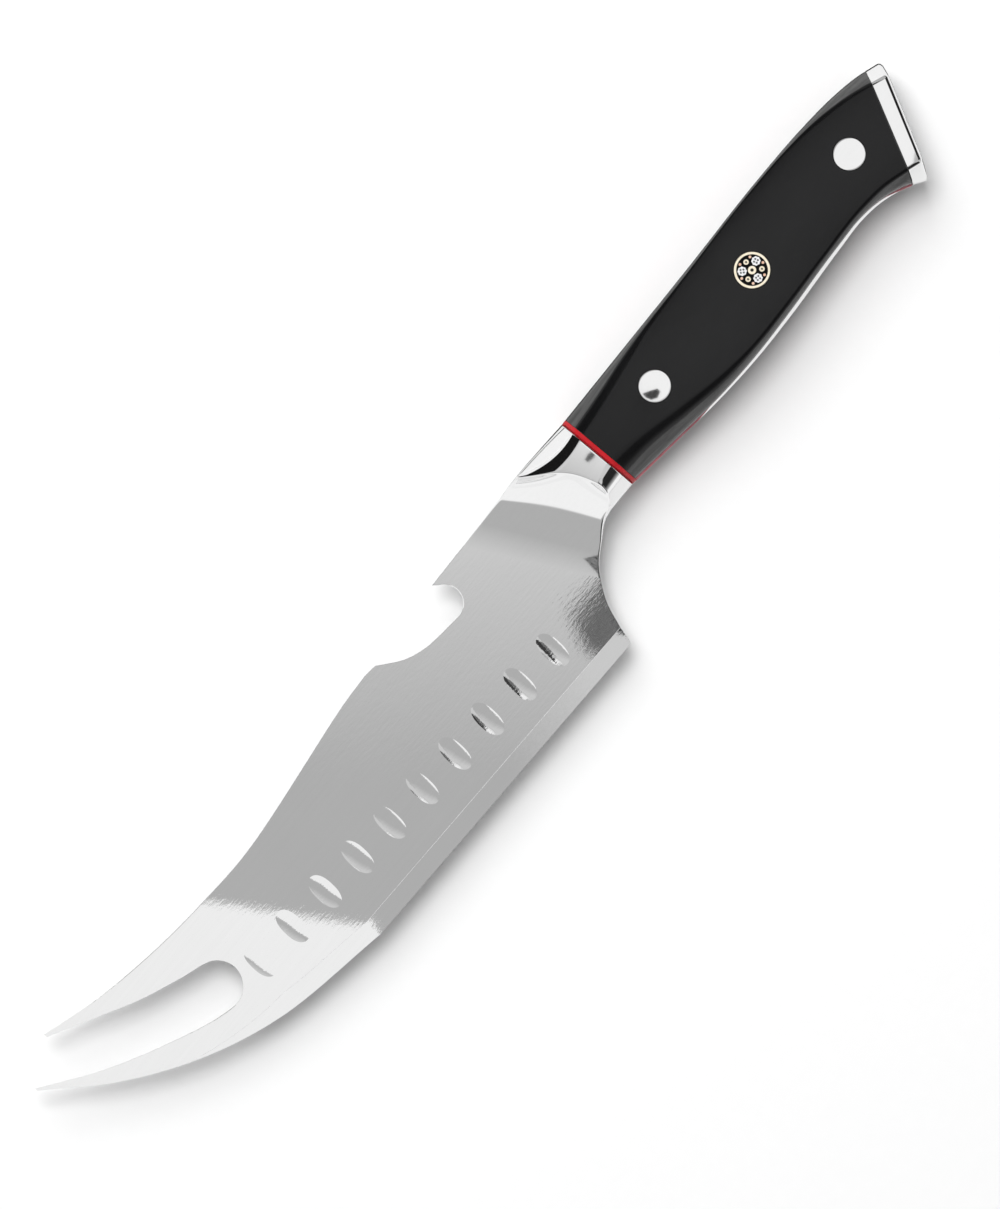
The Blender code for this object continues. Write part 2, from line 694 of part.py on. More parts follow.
def make_rivets():
    """The two solid rivets."""
    for name, x in (("front_rivet", FRONT_RIVET_X), ("rear_rivet", REAR_RIVET_X)):
        pin_piece(name, [circle((x, 0.0), RIVET_DIAMETER / 2, PIN_SIDES)], POLISHED_STEEL)


def make_mosaic_pin():
    """The mosaic pin: a brass tube packed with small tubes, rosettes and wires in black resin."""
    middle = Vector((MOSAIC_X, 0.0))
    bore = MOSAIC_DIAMETER / 2 - MOSAIC_WALL
    filler = bore - BOND_GAP
    rosette_seat = ROSETTE_DIAMETER / 2 + BOND_GAP
    rosette_circle = filler - MOSAIC_WEB - rosette_seat
    centre_seat = rosette_circle - rosette_seat - MOSAIC_WEB
    tube_seat = SMALL_TUBE_DIAMETER / 2 + BOND_GAP
    tube_circle = (filler + centre_seat) / 2
    wire_seat = WIRE_DIAMETER / 2 + BOND_GAP
    wire_circle = filler - MOSAIC_WEB - wire_seat
    apart = rosette_seat + wire_seat + MOSAIC_WEB
    cosine = (rosette_circle**2 + wire_circle**2 - apart**2) / (2 * rosette_circle * wire_circle)
    wire_turn = math.acos(cosine)

    loops = [circle(middle, MOSAIC_DIAMETER / 2, PIN_SIDES), circle(middle, bore, PIN_SIDES)]
    pin_piece("pin_tube", loops, BRASS)
    seats = [circle(middle, centre_seat, TUBE_SIDES)]
    outside = circle(middle, centre_seat - BOND_GAP, TUBE_SIDES)
    pin_piece("pin_centre_tube", [outside, circle(middle, CENTRE_TUBE_BORE / 2, TUBE_SIDES)], BRASS)
    for third in range(3):
        turn = MOSAIC_TURN + third * 2 * math.pi / 3

        rosette = around(rosette_circle, turn)
        seats.append(rosette_loop(rosette, rosette_seat))
        loops = [rosette_loop(rosette, ROSETTE_DIAMETER / 2)]
        for quarter in range(4):
            angle = turn + (quarter + 0.5) * math.pi / 2
            hole = rosette + ROSETTE_HOLE_CIRCLE / 2 * Vector((math.cos(angle), math.sin(angle)))
            loops.append(circle(hole, ROSETTE_HOLE / 2, TUBE_SIDES // 2))
        pin_piece(f"pin_rosette_{third + 1}", loops, NICKEL)

        tube = around(tube_circle, turn + math.pi / 3)
        seats.append(circle(tube, tube_seat, TUBE_SIDES))
        outside = circle(tube, SMALL_TUBE_DIAMETER / 2, TUBE_SIDES)
        bore_loop = circle(tube, SMALL_TUBE_BORE / 2, TUBE_SIDES)
        pin_piece(f"pin_small_tube_{third + 1}", [outside, bore_loop], BRASS)

        for flank, side in enumerate((-1, 1), 1):
            wire = around(wire_circle, turn + side * wire_turn)
            seats.append(circle(wire, wire_seat, TUBE_SIDES))
            pin_piece(f"pin_wire_{2 * third + flank}", [circle(wire, WIRE_DIAMETER / 2, TUBE_SIDES)], COPPER)
    pin_piece("pin_filler", [circle(middle, filler, PIN_SIDES), *seats], BLACK_RESIN)


def stand_on_origin():
    """Moves the parent so that the origin is under the middle of the knife, on the plane it lies on."""
    bpy.context.view_layer.update()
    graph = bpy.context.evaluated_depsgraph_get()
    corners = []
    for part in parts.objects:
        corners += [Vector(corner) for corner in part.evaluated_get(graph).bound_box]
    low = Vector([min(corner[axis] for corner in corners) for axis in range(3)])
    high = Vector([max(corner[axis] for corner in corners) for axis in range(3)])
    knife.location = (-(low.x + high.x) / 2, -(low.y + high.y) / 2, -low.z)


for old in list(bpy.data.objects):
    bpy.data.objects.remove(old)
parts = collect("barbecue_knife", bpy.context.scene.collection)
cutters = collect("cutters", bpy.context.scene.collection)
scale_cutters = collect("scale_cutters", cutters)
bolster_cutters = collect("bolster_cutters", cutters)
blade_cutters = collect("blade_cutters", cutters)
knife = bpy.data.objects.new("knife", None)
parts.objects.link(knife)

make_mosaic_pin()
make_rivets()
make_tang()
make_end_cap()
make_spacers()
make_liners()
make_scales()
make_bolster()
make_blade()
stand_on_origin()
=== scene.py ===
"""Looks of the barbecue knife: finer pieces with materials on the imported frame, floor, light and camera.

Metres. Pieces are drawn in the part's own drawing frame: x = 0 on the rear face of the bolster, y = 0 on
the line of the pins and z = 0 in the middle of the blade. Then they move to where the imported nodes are.
"""

import json
import math

import bmesh
import bpy
import numpy as np
from mathutils import Matrix, Vector

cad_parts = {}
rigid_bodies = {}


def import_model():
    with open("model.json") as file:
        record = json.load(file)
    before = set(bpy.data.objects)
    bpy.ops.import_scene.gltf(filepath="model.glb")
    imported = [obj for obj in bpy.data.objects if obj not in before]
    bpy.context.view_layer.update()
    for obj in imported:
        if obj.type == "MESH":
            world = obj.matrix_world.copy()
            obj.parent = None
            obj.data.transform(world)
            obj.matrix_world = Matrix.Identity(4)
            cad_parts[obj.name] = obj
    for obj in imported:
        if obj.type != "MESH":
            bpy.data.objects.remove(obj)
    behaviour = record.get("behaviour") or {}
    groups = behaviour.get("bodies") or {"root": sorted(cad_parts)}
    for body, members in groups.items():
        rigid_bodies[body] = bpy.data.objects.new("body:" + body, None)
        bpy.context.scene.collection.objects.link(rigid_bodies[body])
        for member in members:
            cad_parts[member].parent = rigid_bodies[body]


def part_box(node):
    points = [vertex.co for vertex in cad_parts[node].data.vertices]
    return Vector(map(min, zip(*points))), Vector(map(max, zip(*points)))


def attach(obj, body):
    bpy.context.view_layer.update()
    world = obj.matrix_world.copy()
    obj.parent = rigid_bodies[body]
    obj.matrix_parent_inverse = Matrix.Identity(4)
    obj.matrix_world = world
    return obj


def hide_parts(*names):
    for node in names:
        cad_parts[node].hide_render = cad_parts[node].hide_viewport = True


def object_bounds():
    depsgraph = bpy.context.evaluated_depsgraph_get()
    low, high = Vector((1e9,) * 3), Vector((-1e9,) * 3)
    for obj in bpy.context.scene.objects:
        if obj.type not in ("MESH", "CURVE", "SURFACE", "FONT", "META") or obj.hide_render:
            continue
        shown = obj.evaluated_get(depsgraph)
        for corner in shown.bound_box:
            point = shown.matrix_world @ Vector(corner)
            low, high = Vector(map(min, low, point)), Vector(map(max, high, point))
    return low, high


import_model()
cad_low, cad_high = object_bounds()

# Sizes, as in the part
BLADE_LENGTH = 0.1845
BLADE_THICKNESS = 0.0025
EDGE_DEPTH = 0.0321
EDGE_RISE = 0.0011
HEEL_SETBACK = 0.0266
HEEL_ROUNDING = 0.0008
BEVEL_WIDTH = 0.0040
EDGE_LAND = 0.0002
BEVEL_FADE_FROM_TIP = 0.050
BEVEL_END_FROM_TIP = 0.026
TINE_TIP_WIDTH = 0.0008
UPPER_TINE_SETBACK = 0.0103
UPPER_TINE_RISE = 0.0103
NOTCH_SETBACK = 0.0463
NOTCH_HEIGHT = 0.0047
NOTCH_RADIUS = 0.0042
NOTCH_HOOK_ANGLE = math.radians(55.0)
HOOK_SETBACK = 0.0450
HOOK_HEIGHT = 0.0093
HUMP_SETBACK = 0.0695
HUMP_HEIGHT = 0.00785
HOLLOW_LENGTH = 0.0089
HOLLOW_WIDTH = 0.0045
HOLLOW_DEPTH = 0.00045
HOLLOW_PITCH = 0.01033
HOLLOW_FIRST_FROM_HEEL = 0.01215
HOLLOW_ABOVE_EDGE = 0.0122
HOLLOW_ROW_RISE = math.radians(3.3)
HOLLOW_COUNT = 10
RAMP_SLANT = math.radians(27.0)
RAMP_FOOT = 0.0260
HANDLE_LENGTH = 0.1014
HANDLE_THICKNESS = 0.0184
TANG_THICKNESS = 0.0024
LINER_THICKNESS = 0.0008
SPACER_THICKNESS = 0.0012
FACET_SLOPE = 1.13
FACET_FILLET = 0.0015
CAP_THICKNESS = 0.0042
CAP_SLANT = math.radians(27.0)
CAP_ROUNDING = 0.0011
CAP_CROWN_RADIUS = 0.200
RIVET_DIAMETER = 0.0071
FRONT_RIVET_INSET = 0.0181
REAR_RIVET_INSET = 0.0117
MOSAIC_DIAMETER = 0.0080
MOSAIC_WALL = 0.0006
MOSAIC_WEB = 0.00009
MOSAIC_TURN = math.radians(17.0)
ROSETTE_DIAMETER = 0.0021
ROSETTE_LOBES = 8
ROSETTE_LOBE_DEPTH = 0.00012
ROSETTE_HOLE = 0.0004
ROSETTE_HOLE_CIRCLE = 0.0009
CENTRE_TUBE_BORE = 0.0007
SMALL_TUBE_DIAMETER = 0.0012
SMALL_TUBE_BORE = 0.00045
WIRE_DIAMETER = 0.00064
WELD_GAP = 0.00003
BOND_GAP = 0.00005
PIN_CLEARANCE = 0.00012

# Rounds, bows and grooves that only the looks have
STEEL_EDGE = 0.00018
SEAM_EDGE = 0.00012
PIN_EDGE = 0.00006
FINE_EDGE = 0.00002
RIVET_CROWN = 0.00005
SIDE_ROUND = 0.0040
SPINE_FRONT_ROUND = 0.0040
BELLY_FRONT_ROUND = 0.0065
FRONT_ROUND_REACH = 0.040
CREST_ROUND = 0.0052
SPINE_CREST_REACH = 0.010
BELLY_CREST_REACH = 0.005
CREST_BLEND = 0.0003
CREST_MIDDLE = 0.0043
CREST_TOP = 0.0054
SPINE_CREST_BOW = 44.0
BELLY_CREST_BOW = 33.0
SPINE_CREST_SWEEP = 2000.0
CREST_BOW_POWER = 8
CREST_OVERRUN = 0.002
SPINE_FACET_LEAN = 0.218
SPINE_FACET_BEND = 26.0
BELLY_FACET_DRIFT = 0.10
BOLSTER_REAR_ROUND = 0.0003
SIDE_ROUND_POWER = 3
LEAST_CHOIL_LEAN = 0.3
GROOVE_WIDTH = 0.00032
GROOVE_DEPTH = 0.0010
BEVEL_STEP = 0.00008
LINER_SHOWS_TO = 0.020
LINER_SHOWS_FROM = 0.087
LINER_FADE = 0.004
HOLLOW_BLUNTNESS = 2.5
HOLLOW_MARGIN = 1.05

# How finely round stretches are drawn
CURVE_STEPS = 20
FILLET_STEPS = 8
CAP_STEPS = 12
BOLSTER_ROWS = 180
BOLSTER_COLUMNS = 150
EDGE_COLUMNS = 10
HANDLE_STATIONS = 100
PIN_SIDES = 96
TUBE_SIDES = 40
HOLLOW_STEPS = 11
SLANT_SOLVES = 14
CROSSING_SOLVES = 120
RIVET_RINGS = 12
RIM_RINGS = 4
LOBE_STEPS = 12
MERGE_DISTANCE = 1e-7

# Angles in degrees past which an edge is shaded sharp
BLADE_CREASE = 11.0
PLATE_CREASE = 12.0
HANDLE_CREASE = 30.0
BOLSTER_CREASE = 40.0
RIVET_CREASE = 50.0

# Long lines of the handle seen from the side: share of the handle's length, height
SPINE_RAIL = ((0.0, 0.0101), (0.198, 0.0105), (0.435, 0.0110), (0.673, 0.0117), (0.821, 0.0115),
              (0.910, 0.0108), (0.969, 0.0098), (1.048, 0.0074))
SPINE_FLAT_RAIL = ((0.0, 0.0063), (0.099, 0.0074), (0.178, 0.0085), (0.257, 0.0094), (0.396, 0.0101),
                   (0.643, 0.0111), (0.742, 0.0110), (0.836, 0.0101), (0.915, 0.0085), (1.048, 0.0038))
BELLY_FLAT_RAIL = ((0.0, -0.0055), (0.073, -0.0060), (0.183, -0.0082), (0.297, -0.0103),
                   (0.406, -0.0110), (0.485, -0.0108), (0.633, -0.0100), (0.772, -0.0096),
                   (0.831, -0.0102), (0.893, -0.0119), (1.048, -0.0170))
BELLY_RAIL = ((0.0, -0.0100), (0.143, -0.0115), (0.261, -0.0127), (0.376, -0.0132), (0.495, -0.0129),
              (0.678, -0.0117), (0.752, -0.0114), (0.807, -0.0121), (0.855, -0.0137),
              (0.900, -0.0161), (1.048, -0.0240))
# How far the scales step in from the belly line
SCALE_STEP_RAIL = ((0.0, 0.0005), (0.20, 0.0004), (0.40, 0.0006), (0.60, 0.0008), (0.75, 0.0006),
                   (0.90, 0.0004), (1.048, 0.0003))
# Outlines of the blade, as in the part
ROOT_SPINE_POINTS = ((0.0140, 0.0104), (0.0280, 0.0098))
NOTCH_RISE_POINTS = ((0.0132, -0.0062), (0.0085, -0.0044), (0.0049, -0.0017), (0.0032, -0.0003))
HUMP_FALL_POINT = (-0.0080, -0.0005)
BELLY_POINTS = ((0.0, 0.0043), (0.0130, -0.0081), (0.0281, -0.0183), (0.0465, -0.0260))
BELLY_END_FROM_TIP = 0.0742
SLOT_POINTS = ((0.0120, -0.0033), (0.0244, -0.0100), (0.0380, -0.0157), (0.0438, -0.0166),
               (0.0472, -0.0143), (0.0483, -0.0108), (0.0465, -0.0069), (0.0386, -0.0037),
               (0.0295, 0.0000), (0.0212, 0.0044))
FORK_SPINE_POINTS = ((0.0244, 0.0071), (0.0414, 0.0043), (0.0552, 0.0032), (0.0696, 0.0029))
CHOIL_POINTS = ((0.0072, -0.0100), (0.0100, -0.0106), (0.0135, -0.0127), (0.0183, -0.0160),
                (0.0230, -0.0220))
CHOIL_FOOT_FROM_HEEL = (0.0010, 0.0038)

HALF_BLADE = BLADE_THICKNESS / 2
HALF_TANG = TANG_THICKNESS / 2
HALF_HANDLE = HANDLE_THICKNESS / 2
LINER_LOW = HALF_TANG + BOND_GAP
LINER_HIGH = LINER_LOW + LINER_THICKNESS
SCALE_LOW = LINER_HIGH + BOND_GAP
SCALE_FRONT = SPACER_THICKNESS + 2 * BOND_GAP
CAP_SEAM = HANDLE_LENGTH - CAP_THICKNESS / math.cos(CAP_SLANT)
SCALE_REAR = CAP_SEAM - BOND_GAP / math.cos(CAP_SLANT)
TANG_REAR = CAP_SEAM - WELD_GAP / math.cos(CAP_SLANT)
FRONT_RIVET_X = SPACER_THICKNESS + FRONT_RIVET_INSET
REAR_RIVET_X = CAP_SEAM - REAR_RIVET_INSET
MOSAIC_X = (FRONT_RIVET_X + REAR_RIVET_X) / 2
PINS = ((FRONT_RIVET_X, RIVET_DIAMETER), (MOSAIC_X, MOSAIC_DIAMETER), (REAR_RIVET_X, RIVET_DIAMETER))
HEEL = Vector((-HEEL_SETBACK, -EDGE_DEPTH))
CHOIL_FOOT = HEEL + Vector(CHOIL_FOOT_FROM_HEEL)
HOOK_TIP = Vector((-HOOK_SETBACK, HOOK_HEIGHT))
HUMP = Vector((-HUMP_SETBACK, HUMP_HEIGHT))

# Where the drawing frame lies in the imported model: at the bolster's rear face, on the pins' line, halfway up
bolster_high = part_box("bolster")[1]
pin_middle = sum(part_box("front_rivet"), Vector()) / 2
TO_MODEL = Matrix.Translation((bolster_high.x, pin_middle.y, (cad_low.z + cad_high.z) / 2))


# Lines and loops of points


def hermite(start, leave, end, arrive, t):
    near_start = 2 * t**3 - 3 * t**2 + 1
    near_end = 3 * t**2 - 2 * t**3
    return near_start * start + (t**3 - 2 * t**2 + t) * leave + near_end * end + (t**3 - t**2) * arrive


def smooth_path(points):
    """A smooth line through points in a plane: a centripetal spline."""
    points = [Vector(point) for point in points]
    knots = [2 * points[0] - points[1], *points, 2 * points[-1] - points[-2]]
    path = []
    for before, start, end, after in zip(knots, knots[1:], knots[2:], knots[3:]):
        first = math.sqrt((start - before).length)
        middle = math.sqrt((end - start).length)
        last = math.sqrt((after - end).length)
        leave = (start - before) / first - (end - before) / (first + middle) + (end - start) / middle
        arrive = (end - start) / middle - (after - start) / (middle + last) + (after - end) / last
        for step in range(CURVE_STEPS):
            path.append(hermite(start, leave * middle, end, arrive * middle, step / CURVE_STEPS))
    return path + [points[-1]]


def arc(centre, radius, start, end, steps):
    angles = [start + (end - start) * step / steps for step in range(steps + 1)]
    return [Vector(centre) + radius * Vector((math.cos(angle), math.sin(angle))) for angle in angles]


def circle(centre, radius, sides):
    return arc(centre, radius, 0.0, 2 * math.pi, sides)[:-1]


def fillet(before, corner, after, radius):
    """Points of the round that replaces a corner, tangent to both of its sides."""
    back = (before - corner).normalized()
    ahead = (after - corner).normalized()
    half = back.angle(ahead) / 2
    centre = corner + (back + ahead).normalized() * radius / math.sin(half)
    arm = corner + back * radius / math.tan(half) - centre
    turn = arm.angle_signed(corner + ahead * radius / math.tan(half) - centre)
    start = math.atan2(arm.y, arm.x)
    return arc(centre, radius, start, start - turn, FILLET_STEPS)


def rail(points):
    """One of the handle's long lines, as a function that gives its height at x."""
    places = np.array([point[0] for point in points]) * HANDLE_LENGTH
    heights = np.array([point[1] for point in points])
    slopes = np.gradient(heights, places)

    def height(x):
        x = min(max(x, places[0]), places[-1])
        span = min(int(np.searchsorted(places, x, side="right")) - 1, len(places) - 2)
        width = places[span + 1] - places[span]
        leave = slopes[span] * width
        arrive = slopes[span + 1] * width
        share = (x - places[span]) / width
        return float(hermite(heights[span], leave, heights[span + 1], arrive, share))

    return height


spine_line = rail(SPINE_RAIL)
spine_flat_line = rail(SPINE_FLAT_RAIL)
belly_flat_line = rail(BELLY_FLAT_RAIL)
belly_line = rail(BELLY_RAIL)
scale_step = rail(SCALE_STEP_RAIL)


def handle_corners(x, step=0.0):
    """Corners of the handle's section at x above the middle plane, with the belly side stepped in."""
    spine = spine_line(x)
    spine_flat = spine_flat_line(x)
    belly = belly_line(x) + step
    belly_flat = belly_flat_line(x)
    return [
        Vector((spine, HALF_HANDLE - FACET_SLOPE * (spine - spine_flat))),
        Vector((spine_flat, HALF_HANDLE)),
        Vector((belly_flat, HALF_HANDLE)),
        Vector((belly, HALF_HANDLE - FACET_SLOPE * (belly_flat - belly))),
    ]


def facet_round(x, front, reach):
    """Radius between the flat and a facet: large round the bolster's crest, small along the handle."""
    if x < 0.0:
        return front + (CREST_ROUND - front) * min(-x / reach, 1.0)
    return front + (FACET_FILLET - front) * min(x / FRONT_ROUND_REACH, 1.0)


def spine_round(x):
    return facet_round(x, SPINE_FRONT_ROUND, SPINE_CREST_REACH)


def belly_round(x):
    return facet_round(x, BELLY_FRONT_ROUND, BELLY_CREST_REACH)


def fitting_rounds(inner, facet):
    """Radii at the inner and outer end of a facet, made smaller together where it is too narrow."""
    steep = math.atan(FACET_SLOPE)
    needed = inner * math.tan(steep / 2) + SIDE_ROUND * math.tan((math.pi / 2 - steep) / 2)
    share = min(1.0, facet / needed)
    return inner * share, SIDE_ROUND * share


def handle_profile(x, low, step=0.0):
    """The handle's section at x from a height above the middle plane up, as (y, z) points."""
    corners = handle_corners(x, step)
    spine_inner, spine_outer = fitting_rounds(spine_round(x), (corners[0] - corners[1]).length)
    belly_inner, belly_outer = fitting_rounds(belly_round(x), (corners[3] - corners[2]).length)
    radii = (spine_outer, spine_inner, belly_inner, belly_outer)
    start = Vector((corners[0].x, low))
    end = Vector((corners[3].x, low))
    line = [start, *corners, end]
    profile = [start]
    for before, corner, after, radius in zip(line, corners, line[2:], radii):
        profile += fillet(before, corner, after, radius)
    return profile + [end]


def no_step(_x):
    return 0.0


def slanted_section(x, slant, low, step=no_step):
    """The handle's section on an upright plane that crosses y = 0 at x and leans by the slant."""
    section = []
    for index in range(len(handle_profile(x, low))):
        place = x
        for _ in range(SLANT_SOLVES if slant else 1):
            y, z = handle_profile(place, low, step(place))[index]
            place = x + y * math.tan(slant)
        section.append(Vector((place, y, z)))
    return section


# Meshes


def new_piece(name, mesh, crease, replaced):
    """Puts a mesh, shaded sharp past the crease angle, into the scene as a piece that stands for nodes."""
    mesh.shade_smooth()
    mesh.set_sharp_from_angle(angle=math.radians(crease))
    mesh.transform(TO_MODEL)
    piece = bpy.data.objects.new(name, mesh)
    bpy.context.scene.collection.objects.link(piece)
    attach(piece, "root")
    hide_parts(*replaced)
    return piece


def clean(mesh):
    shape = bmesh.new()
    shape.from_mesh(mesh)
    bmesh.ops.remove_doubles(shape, verts=shape.verts, dist=MERGE_DISTANCE)
    bmesh.ops.recalc_face_normals(shape, faces=shape.faces)
    shape.to_mesh(mesh)
    shape.free()
    return mesh


def plate(name, loops, low, high, edge=0.0):
    """A flat mesh between two heights with rounded edges: first loop its outline, the others holes."""
    curve = bpy.data.curves.new(name, "CURVE")
    curve.dimensions = "2D"
    curve.fill_mode = "BOTH"
    curve.extrude = (high - low) / 2 - edge
    curve.bevel_depth = edge
    curve.bevel_resolution = 1
    curve.offset = -edge
    for loop in loops:
        spline = curve.splines.new("POLY")
        spline.points.add(len(loop) - 1)
        for point, place in zip(spline.points, loop):
            point.co = (place[0], place[1], 0.0, 1.0)
        spline.use_cyclic_u = True
    drawn = bpy.data.objects.new(name, curve)
    bpy.context.scene.collection.objects.link(drawn)
    graph = bpy.context.evaluated_depsgraph_get()
    mesh = bpy.data.meshes.new_from_object(drawn.evaluated_get(graph))
    bpy.data.objects.remove(drawn)
    mesh.name = name
    mesh.transform(Matrix.Translation((0, 0, (high + low) / 2)))
    return clean(mesh)


def fill_across(shape, row):
    """Closes an end of a loft with strips from one half of its ring to the other."""
    last = len(row) - 1
    for index in range(last // 2):
        corners = row[index:index + 2] + row[last - index - 1:last - index + 1]
        shape.faces.new(list(dict.fromkeys(corners)))


def skin(shape, rows):
    """Faces between rows that follow each other and have the same number of points."""
    for row, following in zip(rows, rows[1:]):
        for index in range(len(row) - 1):
            shape.faces.new((row[index], row[index + 1], following[index + 1], following[index]))


def skin_rings(shape, rings):
    skin(shape, [[*ring, ring[0]] for ring in rings])


def finished(shape, name):
    mesh = bpy.data.meshes.new(name)
    shape.to_mesh(mesh)
    shape.free()
    return clean(mesh)


def loft(name, rings):
    """A closed mesh through rings that all have the same number of points."""
    shape = bmesh.new()
    rows = [[shape.verts.new(point) for point in ring] for ring in rings]
    skin_rings(shape, rows)
    for row in (rows[0], rows[-1]):
        fill_across(shape, row)
    return finished(shape, name)


def both_sides(node, finish, mesh, crease):
    """The left piece with this mesh, and its mirror image on the right."""
    mirrored = mesh.copy()
    mirrored.transform(Matrix.Scale(-1, 4, Vector((0, 0, 1))))
    pieces = []
    for hand, half in (("left", mesh), ("right", clean(mirrored))):
        half.name = f"{node}_{hand}_{finish}"
        pieces.append(new_piece(half.name, half, crease, [f"{node}_{hand}"]))
    return pieces


def cut(mesh, cutters):
    """The mesh less the cutters' meshes."""
    base = bpy.data.objects.new("cut_base", mesh)
    bpy.context.scene.collection.objects.link(base)
    group = bpy.data.collections.new("cutters")
    bpy.context.scene.collection.children.link(group)
    for index, cutter in enumerate(cutters):
        group.objects.link(bpy.data.objects.new(f"cutter_{index}", cutter))
    modifier = base.modifiers.new("cut", "BOOLEAN")
    modifier.operation = "DIFFERENCE"
    modifier.solver = "EXACT"
    modifier.operand_type = "COLLECTION"
    modifier.collection = group
    graph = bpy.context.evaluated_depsgraph_get()
    result = bpy.data.meshes.new_from_object(base.evaluated_get(graph))
    result.name = mesh.name
    result.materials.clear()
    for shape in list(group.objects) + [base]:
        bpy.data.objects.remove(shape)
    bpy.data.collections.remove(group)
    return result


def block_beyond(point, direction):
    """A large block on the side of an upright plane that the direction points to."""
    size = BLADE_LENGTH + HANDLE_LENGTH
    shape = bmesh.new()
    bmesh.ops.create_cube(shape, size=size)
    mesh = finished(shape, "block")
    turn = Matrix.Rotation(math.atan2(direction.y, direction.x), 4, "Z")
    middle = point + direction * size / 2
    mesh.transform(Matrix.Translation((*middle, 0)) @ turn)
    return mesh


# Blade


def from_tip(points):
    return [(x - BLADE_LENGTH, y) for x, y in points]


def root_spine_path():
    return smooth_path([(0.0, SPINE_RAIL[0][1]), *[(-x, y) for x, y in ROOT_SPINE_POINTS], HOOK_TIP])


def notch_path():
    centre = Vector((-NOTCH_SETBACK, NOTCH_HEIGHT))
    bite = arc(centre, NOTCH_RADIUS, NOTCH_HOOK_ANGLE, -math.pi / 2, 2 * CURVE_STEPS)
    return bite[:-1] + smooth_path([bite[-1], *[HUMP + Vector(point) for point in NOTCH_RISE_POINTS]])


def upper_tine_path():
    tip = (UPPER_TINE_SETBACK - BLADE_LENGTH, UPPER_TINE_RISE + TINE_TIP_WIDTH)
    fall = HUMP + Vector(HUMP_FALL_POINT)
    return smooth_path([HUMP, fall, *reversed(from_tip(FORK_SPINE_POINTS)), tip])


def slot_path():
    upper = (UPPER_TINE_SETBACK - BLADE_LENGTH, UPPER_TINE_RISE)
    lower = (-BLADE_LENGTH, BELLY_POINTS[0][1] + TINE_TIP_WIDTH)
    return smooth_path([upper, *reversed(from_tip(SLOT_POINTS)), lower])


def edge_path():
    end = (BELLY_END_FROM_TIP - BLADE_LENGTH, EDGE_RISE - EDGE_DEPTH)
    return smooth_path([*from_tip(BELLY_POINTS), end])


def choil_path():
    points = [(-x, y) for x, y in reversed(CHOIL_POINTS)]
    return smooth_path([CHOIL_FOOT, *points]) + [Vector((0.0, BELLY_RAIL[0][1]))]


def blade_outline():
    edge = edge_path()
    heel = fillet(edge[-1], HEEL, CHOIL_FOOT, HEEL_ROUNDING)
    spine = root_spine_path() + notch_path() + upper_tine_path()
    return spine + slot_path() + edge + heel + choil_path()


def bevel_cutter(side):
    """What the edge's grind takes off one face: a wedge along the edge, running out past the belly."""
    edge = edge_path()
    edge += [HEEL, HEEL + (HEEL - edge[-1]).normalized() * HEEL_SETBACK]
    slope = (HALF_BLADE - BEVEL_STEP - EDGE_LAND / 2) / BEVEL_WIDTH
    margin = BEVEL_WIDTH / 4
    low = EDGE_LAND / 2 - slope * margin
    middle = HALF_BLADE - BEVEL_STEP
    high = HALF_BLADE + BEVEL_STEP
    rings = []
    for before, place, after in zip(edge, edge[1:], edge[2:] + edge[-1:]):
        from_tip_end = place.x + BLADE_LENGTH
        if from_tip_end < BEVEL_END_FROM_TIP:
            continue
        along = (after - before).normalized()
        inward = Vector((-along.y, along.x))
        fade = (BEVEL_FADE_FROM_TIP - from_tip_end) / (BEVEL_FADE_FROM_TIP - BEVEL_END_FROM_TIP)
        foot = place - inward * BEVEL_WIDTH * max(fade, 0.0)
        outer = foot - inward * margin
        inner = foot + inward * BEVEL_WIDTH
        step = inner + inward * 2 * BEVEL_STEP
        corners = ((outer, low), (inner, middle), (step, high), (outer, high))
        rings.append([(*point, side * z) for point, z in corners])
    return loft("bevel_cutter", rings)


def hollow_cutter(place, side):
    """One ground hollow: a round bar across the blade, sunk into a face and rising to both ends."""
    radius = ((HOLLOW_WIDTH / 2) ** 2 + HOLLOW_DEPTH**2) / (2 * HOLLOW_DEPTH)
    spread = math.asin(HOLLOW_WIDTH / 2 / radius) * HOLLOW_MARGIN
    along = Vector((-math.cos(HOLLOW_ROW_RISE), math.sin(HOLLOW_ROW_RISE)))
    across = Vector((-along.y, along.x))
    rings = []
    for step in range(-HOLLOW_STEPS, HOLLOW_STEPS + 1):
        reach = HOLLOW_MARGIN * math.sin(math.pi / 2 * step / HOLLOW_STEPS)
        middle = place + across * HOLLOW_LENGTH / 2 * reach
        height = HALF_BLADE + radius - HOLLOW_DEPTH * (1 - abs(reach) ** HOLLOW_BLUNTNESS)
        low = arc((0.0, height), radius, -math.pi / 2 - spread, -math.pi / 2 + spread, 2 * HOLLOW_STEPS)
        rings.append([(*(middle + along * point.x), side * point.y) for point in low])
    return loft("hollow_cutter", rings)


def hollow_places():
    first = HEEL + Vector((-HOLLOW_FIRST_FROM_HEEL, HOLLOW_ABOVE_EDGE))
    step = HOLLOW_PITCH * Vector((-math.cos(HOLLOW_ROW_RISE), math.sin(HOLLOW_ROW_RISE)))
    return [first + step * index for index in range(HOLLOW_COUNT)]


def ramp_direction():
    return Vector((math.cos(RAMP_SLANT), math.sin(RAMP_SLANT)))


